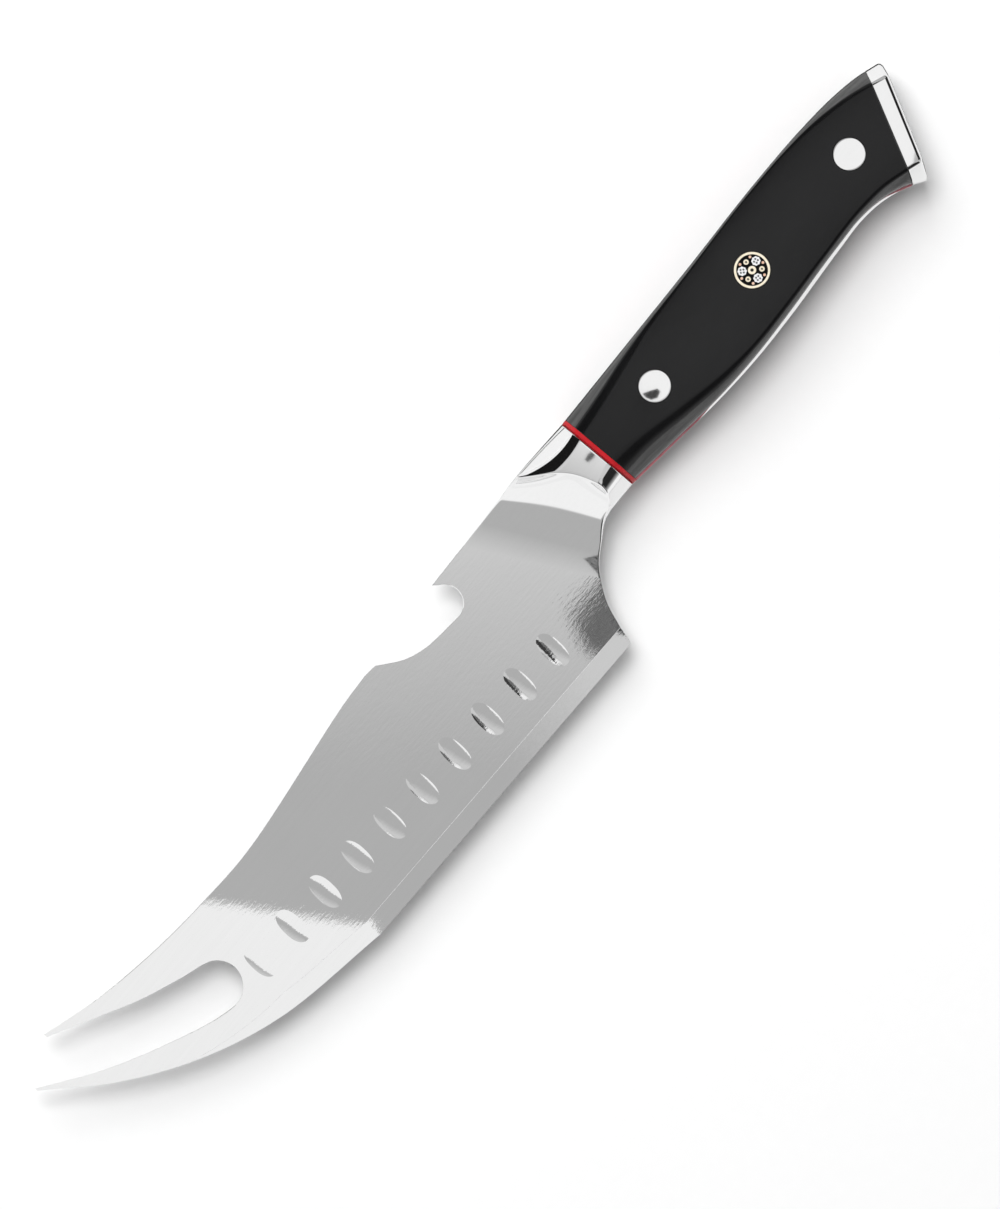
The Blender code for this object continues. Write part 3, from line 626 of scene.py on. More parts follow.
def make_blade():
    mesh = plate("blade_steel", [blade_outline()], -HALF_BLADE, HALF_BLADE, STEEL_EDGE)
    cutters = [block_beyond(-ramp_direction() * RAMP_FOOT, ramp_direction())]
    for side in (1, -1):
        cutters.append(bevel_cutter(side))
        cutters += [hollow_cutter(place, side) for place in hollow_places()]
    return new_piece("blade_steel", cut(mesh, cutters), BLADE_CREASE, ["blade"])


# Bolster


def facet_drop(beyond, radius):
    """How far the surface lies under the flat, at a distance beyond the flat's rounded edge."""
    steep = math.atan(FACET_SLOPE)
    reach = radius * math.tan(steep / 2)
    if beyond <= -reach:
        return 0.0
    if beyond < reach * math.cos(steep):
        return radius - math.sqrt(radius**2 - (beyond + reach) ** 2)
    return FACET_SLOPE * beyond


REAR_SPINE_FLAT, REAR_BELLY_FLAT, REAR_BELLY = (corner.x for corner in handle_corners(0.0)[1:])


def block_height(x, y):
    """The bolster's block: a flat between a bent facet at the spine and a straight one at the belly."""
    spine_edge = REAR_SPINE_FLAT + SPINE_FACET_LEAN * x + SPINE_FACET_BEND * x**2
    edge_lean = SPINE_FACET_LEAN + 2 * SPINE_FACET_BEND * x
    spine_drop = facet_drop((y - spine_edge) / math.hypot(1.0, edge_lean), spine_round(x))
    belly_drop = facet_drop(REAR_BELLY_FLAT + BELLY_FACET_DRIFT * x - y, belly_round(x))
    return HALF_HANDLE - spine_drop - min(belly_drop, FACET_SLOPE * (REAR_BELLY_FLAT - REAR_BELLY))


def ramp_height(x, y):
    """The hollow ramp from the blade up to the bolster's bowed crest."""
    across = ramp_direction()
    forward = x * across.x + y * across.y
    aside = y * across.x - x * across.y - CREST_MIDDLE
    rise = HALF_HANDLE - HALF_BLADE
    run = RAMP_FOOT - CREST_TOP
    scoop = (run**2 + rise**2) / (2 * rise)
    climb = min(max(forward + RAMP_FOOT, 0.0), run + CREST_OVERRUN)
    bow = BELLY_CREST_BOW * aside**2
    if aside > 0.0:
        bow = SPINE_CREST_BOW * aside**2 + SPINE_CREST_SWEEP * aside**3
    climb = min(climb + bow * (climb / run) ** CREST_BOW_POWER, scoop)
    return HALF_BLADE + scoop - math.sqrt(scoop**2 - climb**2)


def bolster_height(x, y):
    """The bolster's surface before its edges are rounded: the lower of block and ramp, blended."""
    block = block_height(x, y)
    ramp = ramp_height(x, y)
    blend = max(CREST_BLEND - abs(block - ramp), 0.0) / CREST_BLEND
    return min(block, ramp) - blend**2 * CREST_BLEND / 4


def edge_rounding(surface, radius, lean):
    """Distances from an edge and the heights there, for a round that ends upright at the edge."""
    near = radius / 4
    slope = max(math.atan((surface(2 * near) - surface(near)) / (near * lean)), 0.0)
    width = radius * (1 - math.sin(slope))
    top = surface(width / lean) - radius * math.cos(slope)
    places = []
    for step in range(EDGE_COLUMNS):
        inside = width * (step / EDGE_COLUMNS) ** 2
        places.append((inside / lean, top + math.sqrt(radius**2 - (radius - inside) ** 2)))
    return places, width / lean


def bolster_line(x, slant, round_share, spine, choil):
    """One line of points across the bolster, from the choil up to the spine."""

    def crossing(line):
        y = 0.0
        for _ in range(CROSSING_SOLVES):
            y = (y + float(np.interp(x - y * slant, line[:, 0], line[:, 1]))) / 2
        return y

    low = crossing(choil)
    high = crossing(spine)
    place = np.searchsorted(choil[:, 0], x - low * slant)
    along = choil[min(place, len(choil) - 1)] - choil[max(place - 1, 0)]
    choil_lean = max(abs(along[0]) / math.hypot(*along), LEAST_CHOIL_LEAN)
    radius = STEEL_EDGE + (SIDE_ROUND - STEEL_EDGE) * round_share**SIDE_ROUND_POWER

    def height(y):
        return bolster_height(x - y * slant, y)

    lower, lower_width = edge_rounding(lambda inside: height(low + inside), radius, choil_lean)
    upper, upper_width = edge_rounding(lambda inside: height(high - inside), radius, 1.0)
    points = [(low + inside, z) for inside, z in lower]
    for y in np.linspace(low + lower_width, high - upper_width, BOLSTER_COLUMNS):
        points.append((float(y), height(float(y))))
    points += [(high - inside, z) for inside, z in reversed(upper)]
    return [Vector((x - y * slant, y, z)) for y, z in points]


def make_bolster():
    """The bolster as a grid over its outline, from the slanted weld to the square rear face."""
    spine = np.array([tuple(point) for point in root_spine_path()])[::-1]
    choil = np.array([tuple(point) for point in choil_path()])
    foot = RAMP_FOOT / math.cos(RAMP_SLANT)
    rear = [BOLSTER_REAR_ROUND * (1 - step / EDGE_COLUMNS) ** 2 for step in range(EDGE_COLUMNS + 1)]
    lines = []
    for ahead in [*np.linspace(foot, rear[0], BOLSTER_ROWS)[:-1], *rear]:
        share = 1 - ahead / foot
        line = bolster_line(-float(ahead), (1 - share) * math.tan(RAMP_SLANT), share, spine, choil)
        if ahead < BOLSTER_REAR_ROUND:
            gap = BOLSTER_REAR_ROUND - ahead
            drop = BOLSTER_REAR_ROUND - math.sqrt(BOLSTER_REAR_ROUND**2 - gap**2)
            line = [point - Vector((0, 0, drop)) for point in line]
        lines.append(line)

    shape = bmesh.new()
    top = [[shape.verts.new(point) for point in line] for line in lines]
    under = [[shape.verts.new((point.x, point.y, -point.z)) for point in line] for line in lines]
    sides = [([line[end] for line in top], [line[end] for line in under]) for end in (0, -1)]
    ends = [(top[end], under[end]) for end in (0, -1)]
    for rows in (top, under, *sides, *ends):
        skin(shape, rows)
    mesh = finished(shape, "bolster_steel")
    return new_piece("bolster_steel", mesh, BOLSTER_CREASE, ["bolster"])


# Handle


def side_line(height, front, rear):
    line = []
    for station in range(HANDLE_STATIONS + 1):
        share = station / HANDLE_STATIONS
        place = front
        for _ in range(SLANT_SOLVES):
            y = height(place)
            place = front + share * (rear + y * math.tan(CAP_SLANT) - front)
        line.append(Vector((place, y)))
    return line


def handle_plate(name, front, rear, low, high, belly=belly_line):
    outline = side_line(spine_line, front, rear) + side_line(belly, front, rear)[::-1]
    holes = [circle((x, 0.0), diameter / 2 + PIN_CLEARANCE, PIN_SIDES) for x, diameter in PINS]
    return plate(name, [outline, *holes], low, high, BOND_GAP / 2)


def drawn_in(ring, distance):
    """A ring drawn in by a distance across the handle, on the same slanted plane."""
    drawn = []
    for before, place, after in zip(ring[-1:] + ring, ring, ring[1:] + ring[:1]):
        along = Vector((after.y - before.y, after.z - before.z)).normalized()
        drawn.append(Vector((place.x, place.y - along.y * distance, place.z + along.x * distance)))
    return drawn


def make_scales():
    rings = []
    for station in range(HANDLE_STATIONS + 1):
        share = station / HANDLE_STATIONS
        x = SCALE_FRONT + share * (SCALE_REAR - SCALE_FRONT)
        slant = math.atan(share * math.tan(CAP_SLANT))
        rings.append(slanted_section(x, slant, SCALE_LOW, scale_step))
    first = drawn_in(rings[0], SEAM_EDGE / 2)
    inner_first = [place + Vector((SEAM_EDGE / 2, 0, 0)) for place in rings[0]]
    inner_last = [place - Vector((SEAM_EDGE, 0, 0)) for place in rings[-1]]
    last = drawn_in(rings[-1], SEAM_EDGE)
    mesh = loft("scale", [first, inner_first, *rings[1:-1], inner_last, last])
    drills = []
    for x, diameter in PINS:
        hole = circle((x, 0.0), diameter / 2 + PIN_CLEARANCE, PIN_SIDES)
        drills.append(plate("drill", [hole], -HANDLE_THICKNESS, HANDLE_THICKNESS))
    return both_sides("scale", "laminate", cut(mesh, drills), HANDLE_CREASE)


def make_spacers():
    """The spacers, each with a groove along its front edge, which shows as a fine dark line."""
    front, rear = [slanted_section(x, 0.0, LINER_LOW) for x in (BOND_GAP, BOND_GAP + SPACER_THICKNESS)]
    lip = [place + Vector((GROOVE_WIDTH, 0, 0)) for place in front]
    mesh = loft("spacer", [drawn_in(front, GROOVE_DEPTH), drawn_in(lip, GROOVE_DEPTH), lip, rear])
    return both_sides("spacer", "fibre", mesh, HANDLE_CREASE)


def liner_belly(x):
    """The liner's belly line: flush with the tang at both ends, flush with the scale between them."""
    hidden = min((x - LINER_SHOWS_TO) / LINER_FADE, (LINER_SHOWS_FROM - x) / LINER_FADE)
    return belly_line(x) + scale_step(x) * min(max(hidden, 0.0), 1.0)


def make_liners():
    mesh = handle_plate("liner", SCALE_FRONT, SCALE_REAR, LINER_LOW, LINER_HIGH, liner_belly)
    return both_sides("liner", "fibre", mesh, PLATE_CREASE)


def make_tang():
    mesh = handle_plate("tang_steel", WELD_GAP, TANG_REAR, -HALF_TANG, HALF_TANG)
    return new_piece("tang_steel", mesh, PLATE_CREASE, ["tang"])


def cap_ring(x, share, inside):
    """A ring round the end cap, drawn in by a distance and bowed by a share of the rear face's crown."""
    half = slanted_section(x, CAP_SLANT, 0.0)[1:-1]
    ring = half + [Vector((place.x, place.y, -place.z)) for place in reversed(half)]
    bowed = []
    for place in drawn_in(ring, inside):
        bow = share * place.y**2 / (2 * CAP_CROWN_RADIUS)
        bowed.append(Vector((x + place.y * math.tan(CAP_SLANT) - bow, place.y, place.z)))
    return bowed


def make_end_cap():
    depths = [(0.0, SEAM_EDGE), (SEAM_EDGE, 0.0)]
    for step in range(CAP_STEPS + 1):
        angle = math.pi / 2 * step / CAP_STEPS
        depth = CAP_THICKNESS - CAP_ROUNDING * (1 - math.sin(angle))
        depths.append((depth, CAP_ROUNDING * (1 - math.cos(angle))))
    rings = []
    for depth, inside in depths:
        x = CAP_SEAM + depth / math.cos(CAP_SLANT)
        rings.append(cap_ring(x, depth / CAP_THICKNESS, inside))
    mesh = loft("end_cap_steel", rings)
    return new_piece("end_cap_steel", mesh, HANDLE_CREASE, ["end_cap"])


# Rivets and mosaic pin


def make_rivet(node, x):
    """A rivet with a slightly crowned, softly broken face at both ends."""
    radius = RIVET_DIAMETER / 2
    profile = []
    for step in range(1, RIVET_RINGS + 1):
        share = step / RIVET_RINGS
        profile.append(((radius - PIN_EDGE) * share, HALF_HANDLE - RIVET_CROWN * share**2))
    rim = HALF_HANDLE - RIVET_CROWN
    for step in range(1, RIM_RINGS + 1):
        angle = math.pi / 2 * step / RIM_RINGS
        reach = radius - PIN_EDGE * (1 - math.sin(angle))
        profile.append((reach, rim - PIN_EDGE * (1 - math.cos(angle))))
    profile += [(reach, -z) for reach, z in reversed(profile)]
    shape = bmesh.new()
    rows = []
    for reach, z in profile:
        rows.append([shape.verts.new((*point, z)) for point in circle((x, 0.0), reach, PIN_SIDES)])
    skin_rings(shape, rows)
    for row, z in ((rows[0], HALF_HANDLE), (rows[-1], -HALF_HANDLE)):
        hub = shape.verts.new((x, 0.0, z))
        for index in range(PIN_SIDES):
            shape.faces.new((row[index - 1], row[index], hub))
    mesh = finished(shape, node)
    return new_piece(f"{node}_steel", mesh, RIVET_CREASE, [node])


def rosette_loop(centre, radius):
    sides = LOBE_STEPS * ROSETTE_LOBES
    loop = []
    for side in range(sides):
        angle = 2 * math.pi * side / sides
        reach = radius - ROSETTE_LOBE_DEPTH * (1 - math.cos(ROSETTE_LOBES * angle)) / 2
        loop.append(centre + reach * Vector((math.cos(angle), math.sin(angle))))
    return loop


def around(distance, angle):
    return Vector((MOSAIC_X, 0.0)) + distance * Vector((math.cos(angle), math.sin(angle)))


def tube(centre, outer, bore, sides):
    """Loops of a tube's end, from its outer and inner radius."""
    return [circle(centre, outer, sides), circle(centre, bore, sides)]


def make_mosaic_pin():
    """The mosaic pin: a brass tube packed with small tubes, rosettes and wires in black resin."""
    middle = Vector((MOSAIC_X, 0.0))
    bore = MOSAIC_DIAMETER / 2 - MOSAIC_WALL
    filler = bore - BOND_GAP
    rosette_seat = ROSETTE_DIAMETER / 2 + BOND_GAP
    rosette_circle = filler - MOSAIC_WEB - rosette_seat
    centre_seat = rosette_circle - rosette_seat - MOSAIC_WEB
    tube_seat = SMALL_TUBE_DIAMETER / 2 + BOND_GAP
    tube_circle = (filler + centre_seat) / 2
    wire_seat = WIRE_DIAMETER / 2 + BOND_GAP
    wire_circle = filler - MOSAIC_WEB - wire_seat
    apart = rosette_seat + wire_seat + MOSAIC_WEB
    cosine = (rosette_circle**2 + wire_circle**2 - apart**2) / (2 * rosette_circle * wire_circle)
    wire_turn = math.acos(cosine)

    made = {"brass": [], "copper": [], "nickel": [], "black_resin": []}

    def add_piece(node, loops, slot_name, edge=FINE_EDGE):
        mesh = plate(f"{node}_inlay", loops, -HALF_HANDLE, HALF_HANDLE, edge)
        made[slot_name].append(new_piece(f"{node}_inlay", mesh, PLATE_CREASE, [node]))

    loops = tube(middle, MOSAIC_DIAMETER / 2, bore, PIN_SIDES)
    add_piece("pin_tube", loops, "brass", PIN_EDGE)
    seats = [circle(middle, centre_seat, TUBE_SIDES)]
    loops = tube(middle, centre_seat - BOND_GAP, CENTRE_TUBE_BORE / 2, TUBE_SIDES)
    add_piece("pin_centre_tube", loops, "brass")
    for third in range(3):
        turn = MOSAIC_TURN + third * 2 * math.pi / 3

        rosette = around(rosette_circle, turn)
        seats.append(rosette_loop(rosette, rosette_seat))
        loops = [rosette_loop(rosette, ROSETTE_DIAMETER / 2)]
        for quarter in range(4):
            angle = turn + (quarter + 0.5) * math.pi / 2
            hole = rosette + ROSETTE_HOLE_CIRCLE / 2 * Vector((math.cos(angle), math.sin(angle)))
            loops.append(circle(hole, ROSETTE_HOLE / 2, TUBE_SIDES // 2))
        add_piece(f"pin_rosette_{third + 1}", loops, "nickel")

        place = around(tube_circle, turn + math.pi / 3)
        seats.append(circle(place, tube_seat, TUBE_SIDES))
        loops = tube(place, SMALL_TUBE_DIAMETER / 2, SMALL_TUBE_BORE / 2, TUBE_SIDES)
        add_piece(f"pin_small_tube_{third + 1}", loops, "brass")

        for flank, side in enumerate((-1, 1), 1):
            wire = around(wire_circle, turn + side * wire_turn)
            seats.append(circle(wire, wire_seat, TUBE_SIDES))
            loops = [circle(wire, WIRE_DIAMETER / 2, TUBE_SIDES)]
            add_piece(f"pin_wire_{2 * third + flank}", loops, "copper")
    loops = [circle(middle, filler, PIN_SIDES), *seats]
    add_piece("pin_filler", loops, "black_resin", 0.0)
    return made


# Materials

# Noise, in waves to a metre along the knife, across it and through it
STEEL_GRAIN = (500.0, 1700.0, 1700.0)
STEEL_STREAK = (35.0, 1500.0, 1500.0)
STEEL_CLOUD = (45.0, 45.0, 45.0)
LAMINATE_GRAIN = (260.0, 900.0, 900.0)
LAMINATE_STREAK = (30.0, 700.0, 700.0)
LAMINATE_CLOUD = (60.0, 110.0, 110.0)
FIBRE_LAYER = (500.0, 300.0, 2600.0)
PIN_SCRATCH = (900.0, 9000.0, 900.0)
PIN_SCRATCH_TURN = 0.6
PIN_CLOUD = (700.0, 700.0, 700.0)
RESIN_CLOUD = (1500.0, 1500.0, 1500.0)
PAPER_GRAIN = (300.0, 300.0, 300.0)
HEEL_WEAVE = (500.0, 1600.0, 1600.0)
STEEL_CLOUD_SHARE = 0.5
LAMINATE_CLOUD_SHARE = 0.55
STREAK_RELIEF = 0.3
# Limits between which noise, the mixed noise of steel and the facets' upright normals, which place the
# laminate's painted sheen, are spread
NOISE_LIMITS = (0.3, 0.7)
STEEL_LIMITS = (0.35, 0.65)
FACET_SHEEN_LIMITS = (0.73, 0.67)


class Nodes:
    """A node tree with short calls for the nodes that the materials and the world share."""

    def __init__(self, tree):
        self.tree = tree

    def put(self, socket, value):
        if isinstance(value, bpy.types.NodeSocket):
            self.tree.links.new(value, socket)
        else:
            socket.default_value = value

    def add(self, kind, **inputs):
        node = self.tree.nodes.new(kind)
        for key, value in inputs.items():
            self.put(node.inputs[key.replace("_", " ")], value)
        return node

    def math(self, operation, *values):
        node = self.add("ShaderNodeMath")
        node.operation = operation
        for socket, value in zip(node.inputs, values):
            self.put(socket, value)
        return node.outputs["Value"]

    def noise(self, waves, detail=4.0, roughness=0.6, turn=0.0):
        """Noise in the piece's own coordinates, turned in the plane of the blade and then stretched."""
        place = self.add("ShaderNodeTexCoord").outputs["Object"]
        if turn:
            place = self.add("ShaderNodeMapping", Vector=place, Rotation=(0.0, 0.0, turn)).outputs["Vector"]
        place = self.add("ShaderNodeMapping", Vector=place, Scale=waves).outputs["Vector"]
        node = self.add("ShaderNodeTexNoise", Vector=place, Scale=1.0, Detail=detail, Roughness=roughness)
        return node.outputs["Fac"]

    def span(self, value, to_low=0.0, to_high=1.0, limits=NOISE_LIMITS, kind="LINEAR"):
        """A value between two limits, spread over another span."""
        node = self.add("ShaderNodeMapRange", Value=value, To_Min=to_low, To_Max=to_high)
        node.interpolation_type = kind
        self.put(node.inputs["From Min"], limits[0])
        self.put(node.inputs["From Max"], limits[1])
        return node.outputs["Result"]

    def step(self, value, limits):
        """From 0 at one limit smoothly to 1 at the other."""
        return self.span(value, limits=limits, kind="SMOOTHSTEP")

    def mix(self, share, first, second):
        """A share of the second value with the rest of the first."""
        return self.add("ShaderNodeMix", Factor=share, A=first, B=second).outputs["Result"]

    def ramp(self, share, first, second):
        """The same with colours."""
        node = self.add("ShaderNodeMix", Factor=share)
        node.data_type = "RGBA"
        sockets = [socket for socket in node.inputs if socket.type == "RGBA"]
        for socket, colour in zip(sockets, (first, second)):
            self.put(socket, (*colour, 1.0) if isinstance(colour, tuple) else colour)
        return next(socket for socket in node.outputs if socket.type == "RGBA")


class Surface(Nodes):
    """A new material and its shader."""

    def __init__(self, name):
        self.material = bpy.data.materials.new(name)
        self.material.use_nodes = True
        super().__init__(self.material.node_tree)
        self.shader = self.tree.nodes["Principled BSDF"]

    def set(self, **values):
        for key, value in values.items():
            self.put(self.shader.inputs[key.replace("_", " ")], value)

    def bump(self, height, strength, depth):
        node = self.add("ShaderNodeBump", Height=height, Strength=strength, Distance=depth)
        self.set(Normal=node.outputs["Normal"])


def grey(level):
    return (level, level, level)


def steel(name, levels, roughness, grind):
    """Ground steel: fine grain and streaks along the knife, in shade, gloss and relief."""
    nodes = Surface(name)
    grain = nodes.noise(STEEL_GRAIN, detail=3.0)
    streak = nodes.noise(STEEL_STREAK)
    mixed = nodes.mix(STEEL_CLOUD_SHARE, streak, nodes.noise(STEEL_CLOUD, detail=5.0))
    colour = nodes.ramp(nodes.span(mixed, limits=STEEL_LIMITS), grey(levels[0]), grey(levels[1]))
    nodes.set(Base_Color=colour, Metallic=1.0, Roughness=nodes.span(mixed, *roughness, STEEL_LIMITS))
    nodes.bump(nodes.math("MULTIPLY_ADD", streak, STREAK_RELIEF, grain), strength=1.0, depth=grind)
    return nodes.material


def laminate():
    """Black laminate: polished dark on the flat; paler along the facets and sides, partly a brushed finish and
    partly a painted sheen set by which way they face.
    """
    nodes = Surface("black_laminate")
    grain = nodes.noise(LAMINATE_GRAIN, detail=6.0, roughness=0.65)
    streak = nodes.noise(LAMINATE_STREAK)
    mixed = nodes.mix(LAMINATE_CLOUD_SHARE, grain, nodes.noise(LAMINATE_CLOUD, roughness=0.55))
    flat = nodes.ramp(nodes.span(mixed), (0.0030, 0.0030, 0.0032), (0.0065, 0.0065, 0.0069))
    # Facets and sides: a brushed grey that also holds a painted sheen, blended in where the normal leans away
    # from upright
    facet = nodes.ramp(nodes.span(streak), grey(0.035), grey(0.085))
    normal = nodes.add("ShaderNodeTexCoord").outputs["Normal"]
    upright = nodes.math("ABSOLUTE", nodes.add("ShaderNodeSeparateXYZ", Vector=normal).outputs["Z"])
    nodes.set(Base_Color=nodes.ramp(nodes.span(upright, limits=FACET_SHEEN_LIMITS), flat, facet))
    nodes.set(Roughness=nodes.span(mixed, 0.19, 0.25), Specular_IOR_Level=0.26)
    nodes.bump(grain, strength=0.12, depth=0.00004)
    return nodes.material


def fibre(name, low, high):
    """Red vulcanised fibre: pressed paper layers with slight changes of shade."""
    nodes = Surface(name)
    layer = nodes.noise(FIBRE_LAYER, detail=5.0)
    nodes.set(Base_Color=nodes.ramp(nodes.span(layer), low, high))
    nodes.set(Roughness=nodes.span(layer, 0.32, 0.5), Specular_IOR_Level=0.4)
    nodes.bump(layer, strength=0.15, depth=0.00003)
    return nodes.material


def pin_metal(name, low, high, roughness):
    """Metal of the mosaic pin, sanded flush: very fine scratches and slight tarnish."""
    nodes = Surface(name)
    scratch = nodes.noise(PIN_SCRATCH, detail=3.0, turn=PIN_SCRATCH_TURN)
    cloud = nodes.noise(PIN_CLOUD)
    nodes.set(Base_Color=nodes.ramp(nodes.span(cloud), low, high), Metallic=1.0)
    nodes.set(Roughness=nodes.span(scratch, *roughness))
    nodes.bump(scratch, strength=0.08, depth=0.00001)
    return nodes.material


def resin():
    nodes = Surface("black_resin")
    cloud = nodes.noise(RESIN_CLOUD)
    nodes.set(Base_Color=nodes.ramp(nodes.span(cloud), grey(0.001), grey(0.004)))
    nodes.set(Roughness=nodes.span(cloud, 0.25, 0.4), Specular_IOR_Level=0.08)
    nodes.bump(cloud, strength=0.1, depth=0.00001)
    return nodes.material


def paper():
    """The floor: matte white card with a hardly visible grain."""
    nodes = Surface("white_card")
    grain = nodes.noise(PAPER_GRAIN)
    nodes.set(Base_Color=nodes.ramp(grain, grey(0.86), grey(0.88)))
    nodes.set(Roughness=nodes.span(grain, 0.85, 0.95, (0.0, 1.0)), Specular_IOR_Level=0.1)
    return nodes.material


def dress(pieces, material):
    for piece in pieces:
        piece.data.materials.clear()
        piece.data.materials.append(material)


# Pieces

blade = make_blade()
bolster = make_bolster()
tang = make_tang()
end_cap = make_end_cap()
spacers = make_spacers()
liners = make_liners()
scales = make_scales()
rivets = [make_rivet("front_rivet", FRONT_RIVET_X), make_rivet("rear_rivet", REAR_RIVET_X)]
mosaic = make_mosaic_pin()

dress([blade], steel("ground_steel", levels=(0.79, 0.81), roughness=(0.03, 0.06), grind=2.4e-5))
polish = steel("polish", levels=(0.79, 0.81), roughness=(0.04, 0.06), grind=4e-7)
dress([bolster, end_cap, *rivets], polish)
dress([tang], steel("tang_steel_finish", levels=(0.76, 0.82), roughness=(0.05, 0.09), grind=1e-6))
dress(scales, laminate())
dress(spacers, fibre("red_fibre", (0.36, 0.002, 0.006), (0.52, 0.006, 0.014)))
# The liners: the same red fibre painted pink, a painted sheen standing in for its gloss along the belly line
dress(liners, fibre("red_fibre_painted_sheen", (0.72, 0.20, 0.23), (0.84, 0.32, 0.36)))
dress(mosaic["brass"], pin_metal("brass", (0.90, 0.80, 0.60), (0.97, 0.90, 0.74), (0.128, 0.208)))
dress(mosaic["copper"], pin_metal("copper", (0.80, 0.50, 0.36), (0.90, 0.64, 0.50), (0.16, 0.26)))
dress(mosaic["nickel"], pin_metal("nickel", (0.86, 0.86, 0.87), (0.95, 0.95, 0.96), (0.128, 0.208)))
dress(mosaic["black_resin"], resin())

# Floor

FLOOR_SIZE = 12.0
FLOOR_GAP = 0.0001
FLOOR_SHADE = 0.87
bpy.ops.mesh.primitive_plane_add(size=FLOOR_SIZE, location=(0, 0, cad_low.z - FLOOR_GAP))
floor = bpy.context.object
floor.name = "floor"
dress([floor], paper())

# Camera, straight above: the knife's length runs up to the right at 50 degrees in the picture

PICTURE_TURN = math.radians(50.0)
PICTURE_RIGHT = Vector((math.cos(PICTURE_TURN), -math.sin(PICTURE_TURN), 0.0))
PICTURE_UP = Vector((math.sin(PICTURE_TURN), math.cos(PICTURE_TURN), 0.0))
PICTURE_SIZE = (1000, 1209)
PICTURE_CENTRE = Vector((-0.03856, -0.00475, 0.0))
PIXEL = 0.000218
CAMERA_DISTANCE = 1.8
CAMERA_REACH = 100.0
SENSOR_WIDTH = 36.0

camera = bpy.data.objects.new("camera", bpy.data.cameras.new("camera"))
bpy.context.scene.collection.objects.link(camera)
camera.data.sensor_width = SENSOR_WIDTH
camera.data.lens = SENSOR_WIDTH * CAMERA_DISTANCE / (PICTURE_SIZE[1] * PIXEL)
camera.data.clip_end = CAMERA_REACH
camera.location = TO_MODEL @ PICTURE_CENTRE + Vector((0, 0, CAMERA_DISTANCE))
camera.rotation_euler = (0.0, 0.0, -PICTURE_TURN)
bpy.context.scene.camera = camera


# Light


def in_picture(right, up, height=0.0):
    """A place given by its distance right and up of the picture's middle and its height over the blade."""
    return TO_MODEL @ PICTURE_CENTRE + PICTURE_RIGHT * right + PICTURE_UP * up + Vector((0, 0, height))


def over(x, y, height):
    """The place at a height over the blade that the blade's flat mirrors at a pixel of the picture."""
    spread = PIXEL * (1 + height / CAMERA_DISTANCE)
    return in_picture((x - PICTURE_SIZE[0] / 2) * spread, (PICTURE_SIZE[1] / 2 - y) * spread, height)


def soft_light(name, place, size, share):
    """A round lamp aimed at the knife, with a share of the floor's light, that shows in no reflection."""
    data = bpy.data.lights.new(name, "AREA")
    data.shape = "DISK"
    data.size = size
    aim = in_picture(0, 0) - place
    data.energy = share * math.pi**2 * aim.length_squared / (abs(aim.normalized().z) * FLOOR_SHADE)
    light = bpy.data.objects.new(name, data)
    light.location = place
    light.rotation_euler = aim.to_track_quat("-Z", "Y").to_euler()
    bpy.context.scene.collection.objects.link(light)
    light.visible_camera = False
    light.visible_glossy = False


def card(name, height, glow, corners, mottle=0.0):
    """A card over the knife that shows only in reflections, with one glow or one for each corner."""
    mesh = bpy.data.meshes.new(name)
    mesh.from_pydata([over(x, y, height) for x, y in corners], [], [list(range(len(corners)))])
    board = bpy.data.objects.new(name, mesh)
    bpy.context.scene.collection.objects.link(board)
    nodes = Surface(name)
    nodes.set(Base_Color=(0.0, 0.0, 0.0, 1.0), Specular_IOR_Level=0.0, Emission_Color=(1.0, 1.0, 1.0, 1.0))
    if mottle:
        weave = nodes.noise(HEEL_WEAVE, detail=2.0, roughness=0.5)
        glow = nodes.span(weave, glow - mottle, glow + mottle)
    elif isinstance(glow, tuple):
        mesh.attributes.new("radiance", "FLOAT", "POINT").data.foreach_set("value", glow)
        attribute = nodes.add("ShaderNodeAttribute")
        attribute.attribute_name = "radiance"
        glow = attribute.outputs["Fac"]
    nodes.set(Emission_Strength=glow)
    mesh.materials.append(nodes.material)
    board.visible_camera = False
    board.visible_diffuse = False
    board.visible_shadow = False


CEILING_GLOW = 0.52
FLAG_HEIGHT = 0.060
SIDE_FLAG_HEIGHT = 0.030
HANDLE_PANEL_HEIGHT = 0.140
HANDLE_PANEL_GLOW = 1.08
ROOT_PANEL_HEIGHT = 0.150
ROOT_PANEL_GLOW = 0.72
STRIP_HEIGHT = 0.0004 - HALF_HANDLE
LENS_FLAG = ((632, 497), (612, 540), (606, 575), (618, 615), (642, 664), (760, 694), (700, 600))
